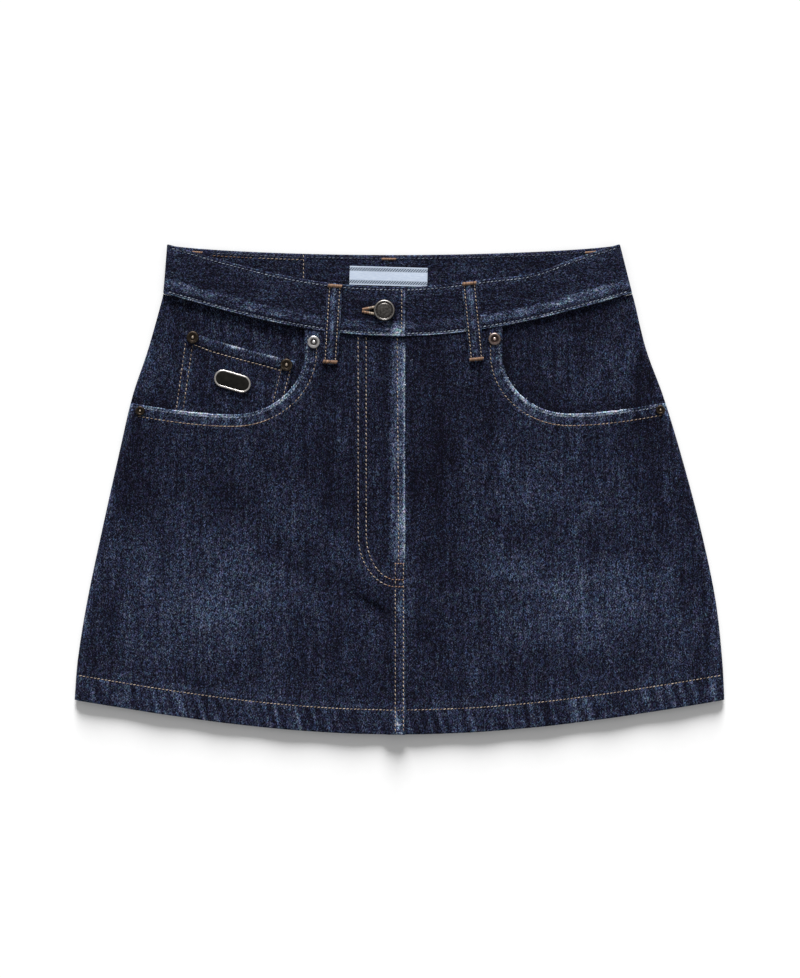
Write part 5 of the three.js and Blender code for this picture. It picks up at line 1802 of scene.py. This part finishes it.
# Sewing
tan = Sewing(60)
orange = Sewing(61)
pale = Sewing(62)
sew_front(tan, orange, pale)
sew_band(tan, orange, pale)
sew_back(tan)
sew_coin(tan)
sew_loops(tan, orange, loops)
sew_buttonhole(tan, orange)
tan_rows = place(tan.piece("stitches_tan", thread_tan), "denim")
orange_rows = place(orange.piece("stitches_orange", thread_orange), "denim")
pale_rows = place(pale.piece("stitches_pale", thread_pale), "denim")
hairs = place(frayed_hairs(fibre), "denim")

# The cut of each cloth that shows, in metres
front_area = area_between(PLAIN_LEFT, HEM_SIDE, SEAM_SIDE, lambda up: up * 0, right_edge) - 0.0095
back_area = area_between(BACK, BACK_HEM_SIDE, SEAM_SIDE, left_edge, right_edge)

# Floor, light and camera
FLOOR_HALF = 6
floor_points = FLOOR_HALF / MM * np.array([(-1, -1, 0), (1, -1, 0), (1, 1, 0), (-1, 1, 0)])
floor_finish, floor_tree, floor_shader = new_finish("white paper")
floor_place = add(floor_tree, "ShaderNodeTexCoord", {}).outputs["Object"]
paper = noise(floor_tree, scaled(floor_tree, floor_place, 9, 9, 9))
paper_colour = ramp_node(floor_tree, paper, (0.2, grey(0.9)), (0.8, grey(0.915)))
floor_tree.links.new(paper_colour, floor_shader.inputs["Base Color"])
floor_shader.inputs["Roughness"].default_value = 1
floor_shader.inputs["Specular IOR Level"].default_value = 0
floor = new_piece("floor", floor_points, [np.array([[0, 1, 2, 3]])], floor_finish)

AMBIENT = 0.38
KEY_STRENGTH = 7.4
KEY_ELEVATION = 19
KEY_SPREAD = 26
world = bpy.data.worlds.new("studio")
world.use_nodes = True
world.node_tree.nodes["Background"].inputs["Color"].default_value = (1, 1, 1, 1)
world.node_tree.nodes["Background"].inputs["Strength"].default_value = AMBIENT
bpy.context.scene.world = world
key = bpy.data.lights.new("key", "SUN")
key.energy = KEY_STRENGTH
key.angle = math.radians(KEY_SPREAD)
key_lamp = bpy.data.objects.new("key", key)
key_lamp.rotation_euler = (math.radians(-(90 - KEY_ELEVATION)), 0, 0)
bpy.context.scene.collection.objects.link(key_lamp)

FRAME_LONG_SIDE = 782.4
CAMERA_AIM = (0.4, 0.2)
CLOTH_LEVEL = 6
lens = bpy.data.cameras.new("overhead")
lens.lens = 85
lens.sensor_width = 36
distance = FRAME_LONG_SIDE / 2 / (lens.sensor_width / 2 / lens.lens)
camera = bpy.data.objects.new("overhead", lens)
camera.location = (CAMERA_AIM[0] * MM, CAMERA_AIM[1] * MM, (distance + CLOTH_LEVEL) * MM)
bpy.context.scene.collection.objects.link(camera)
bpy.context.scene.camera = camera
bpy.context.scene.view_settings.view_transform = "Standard"
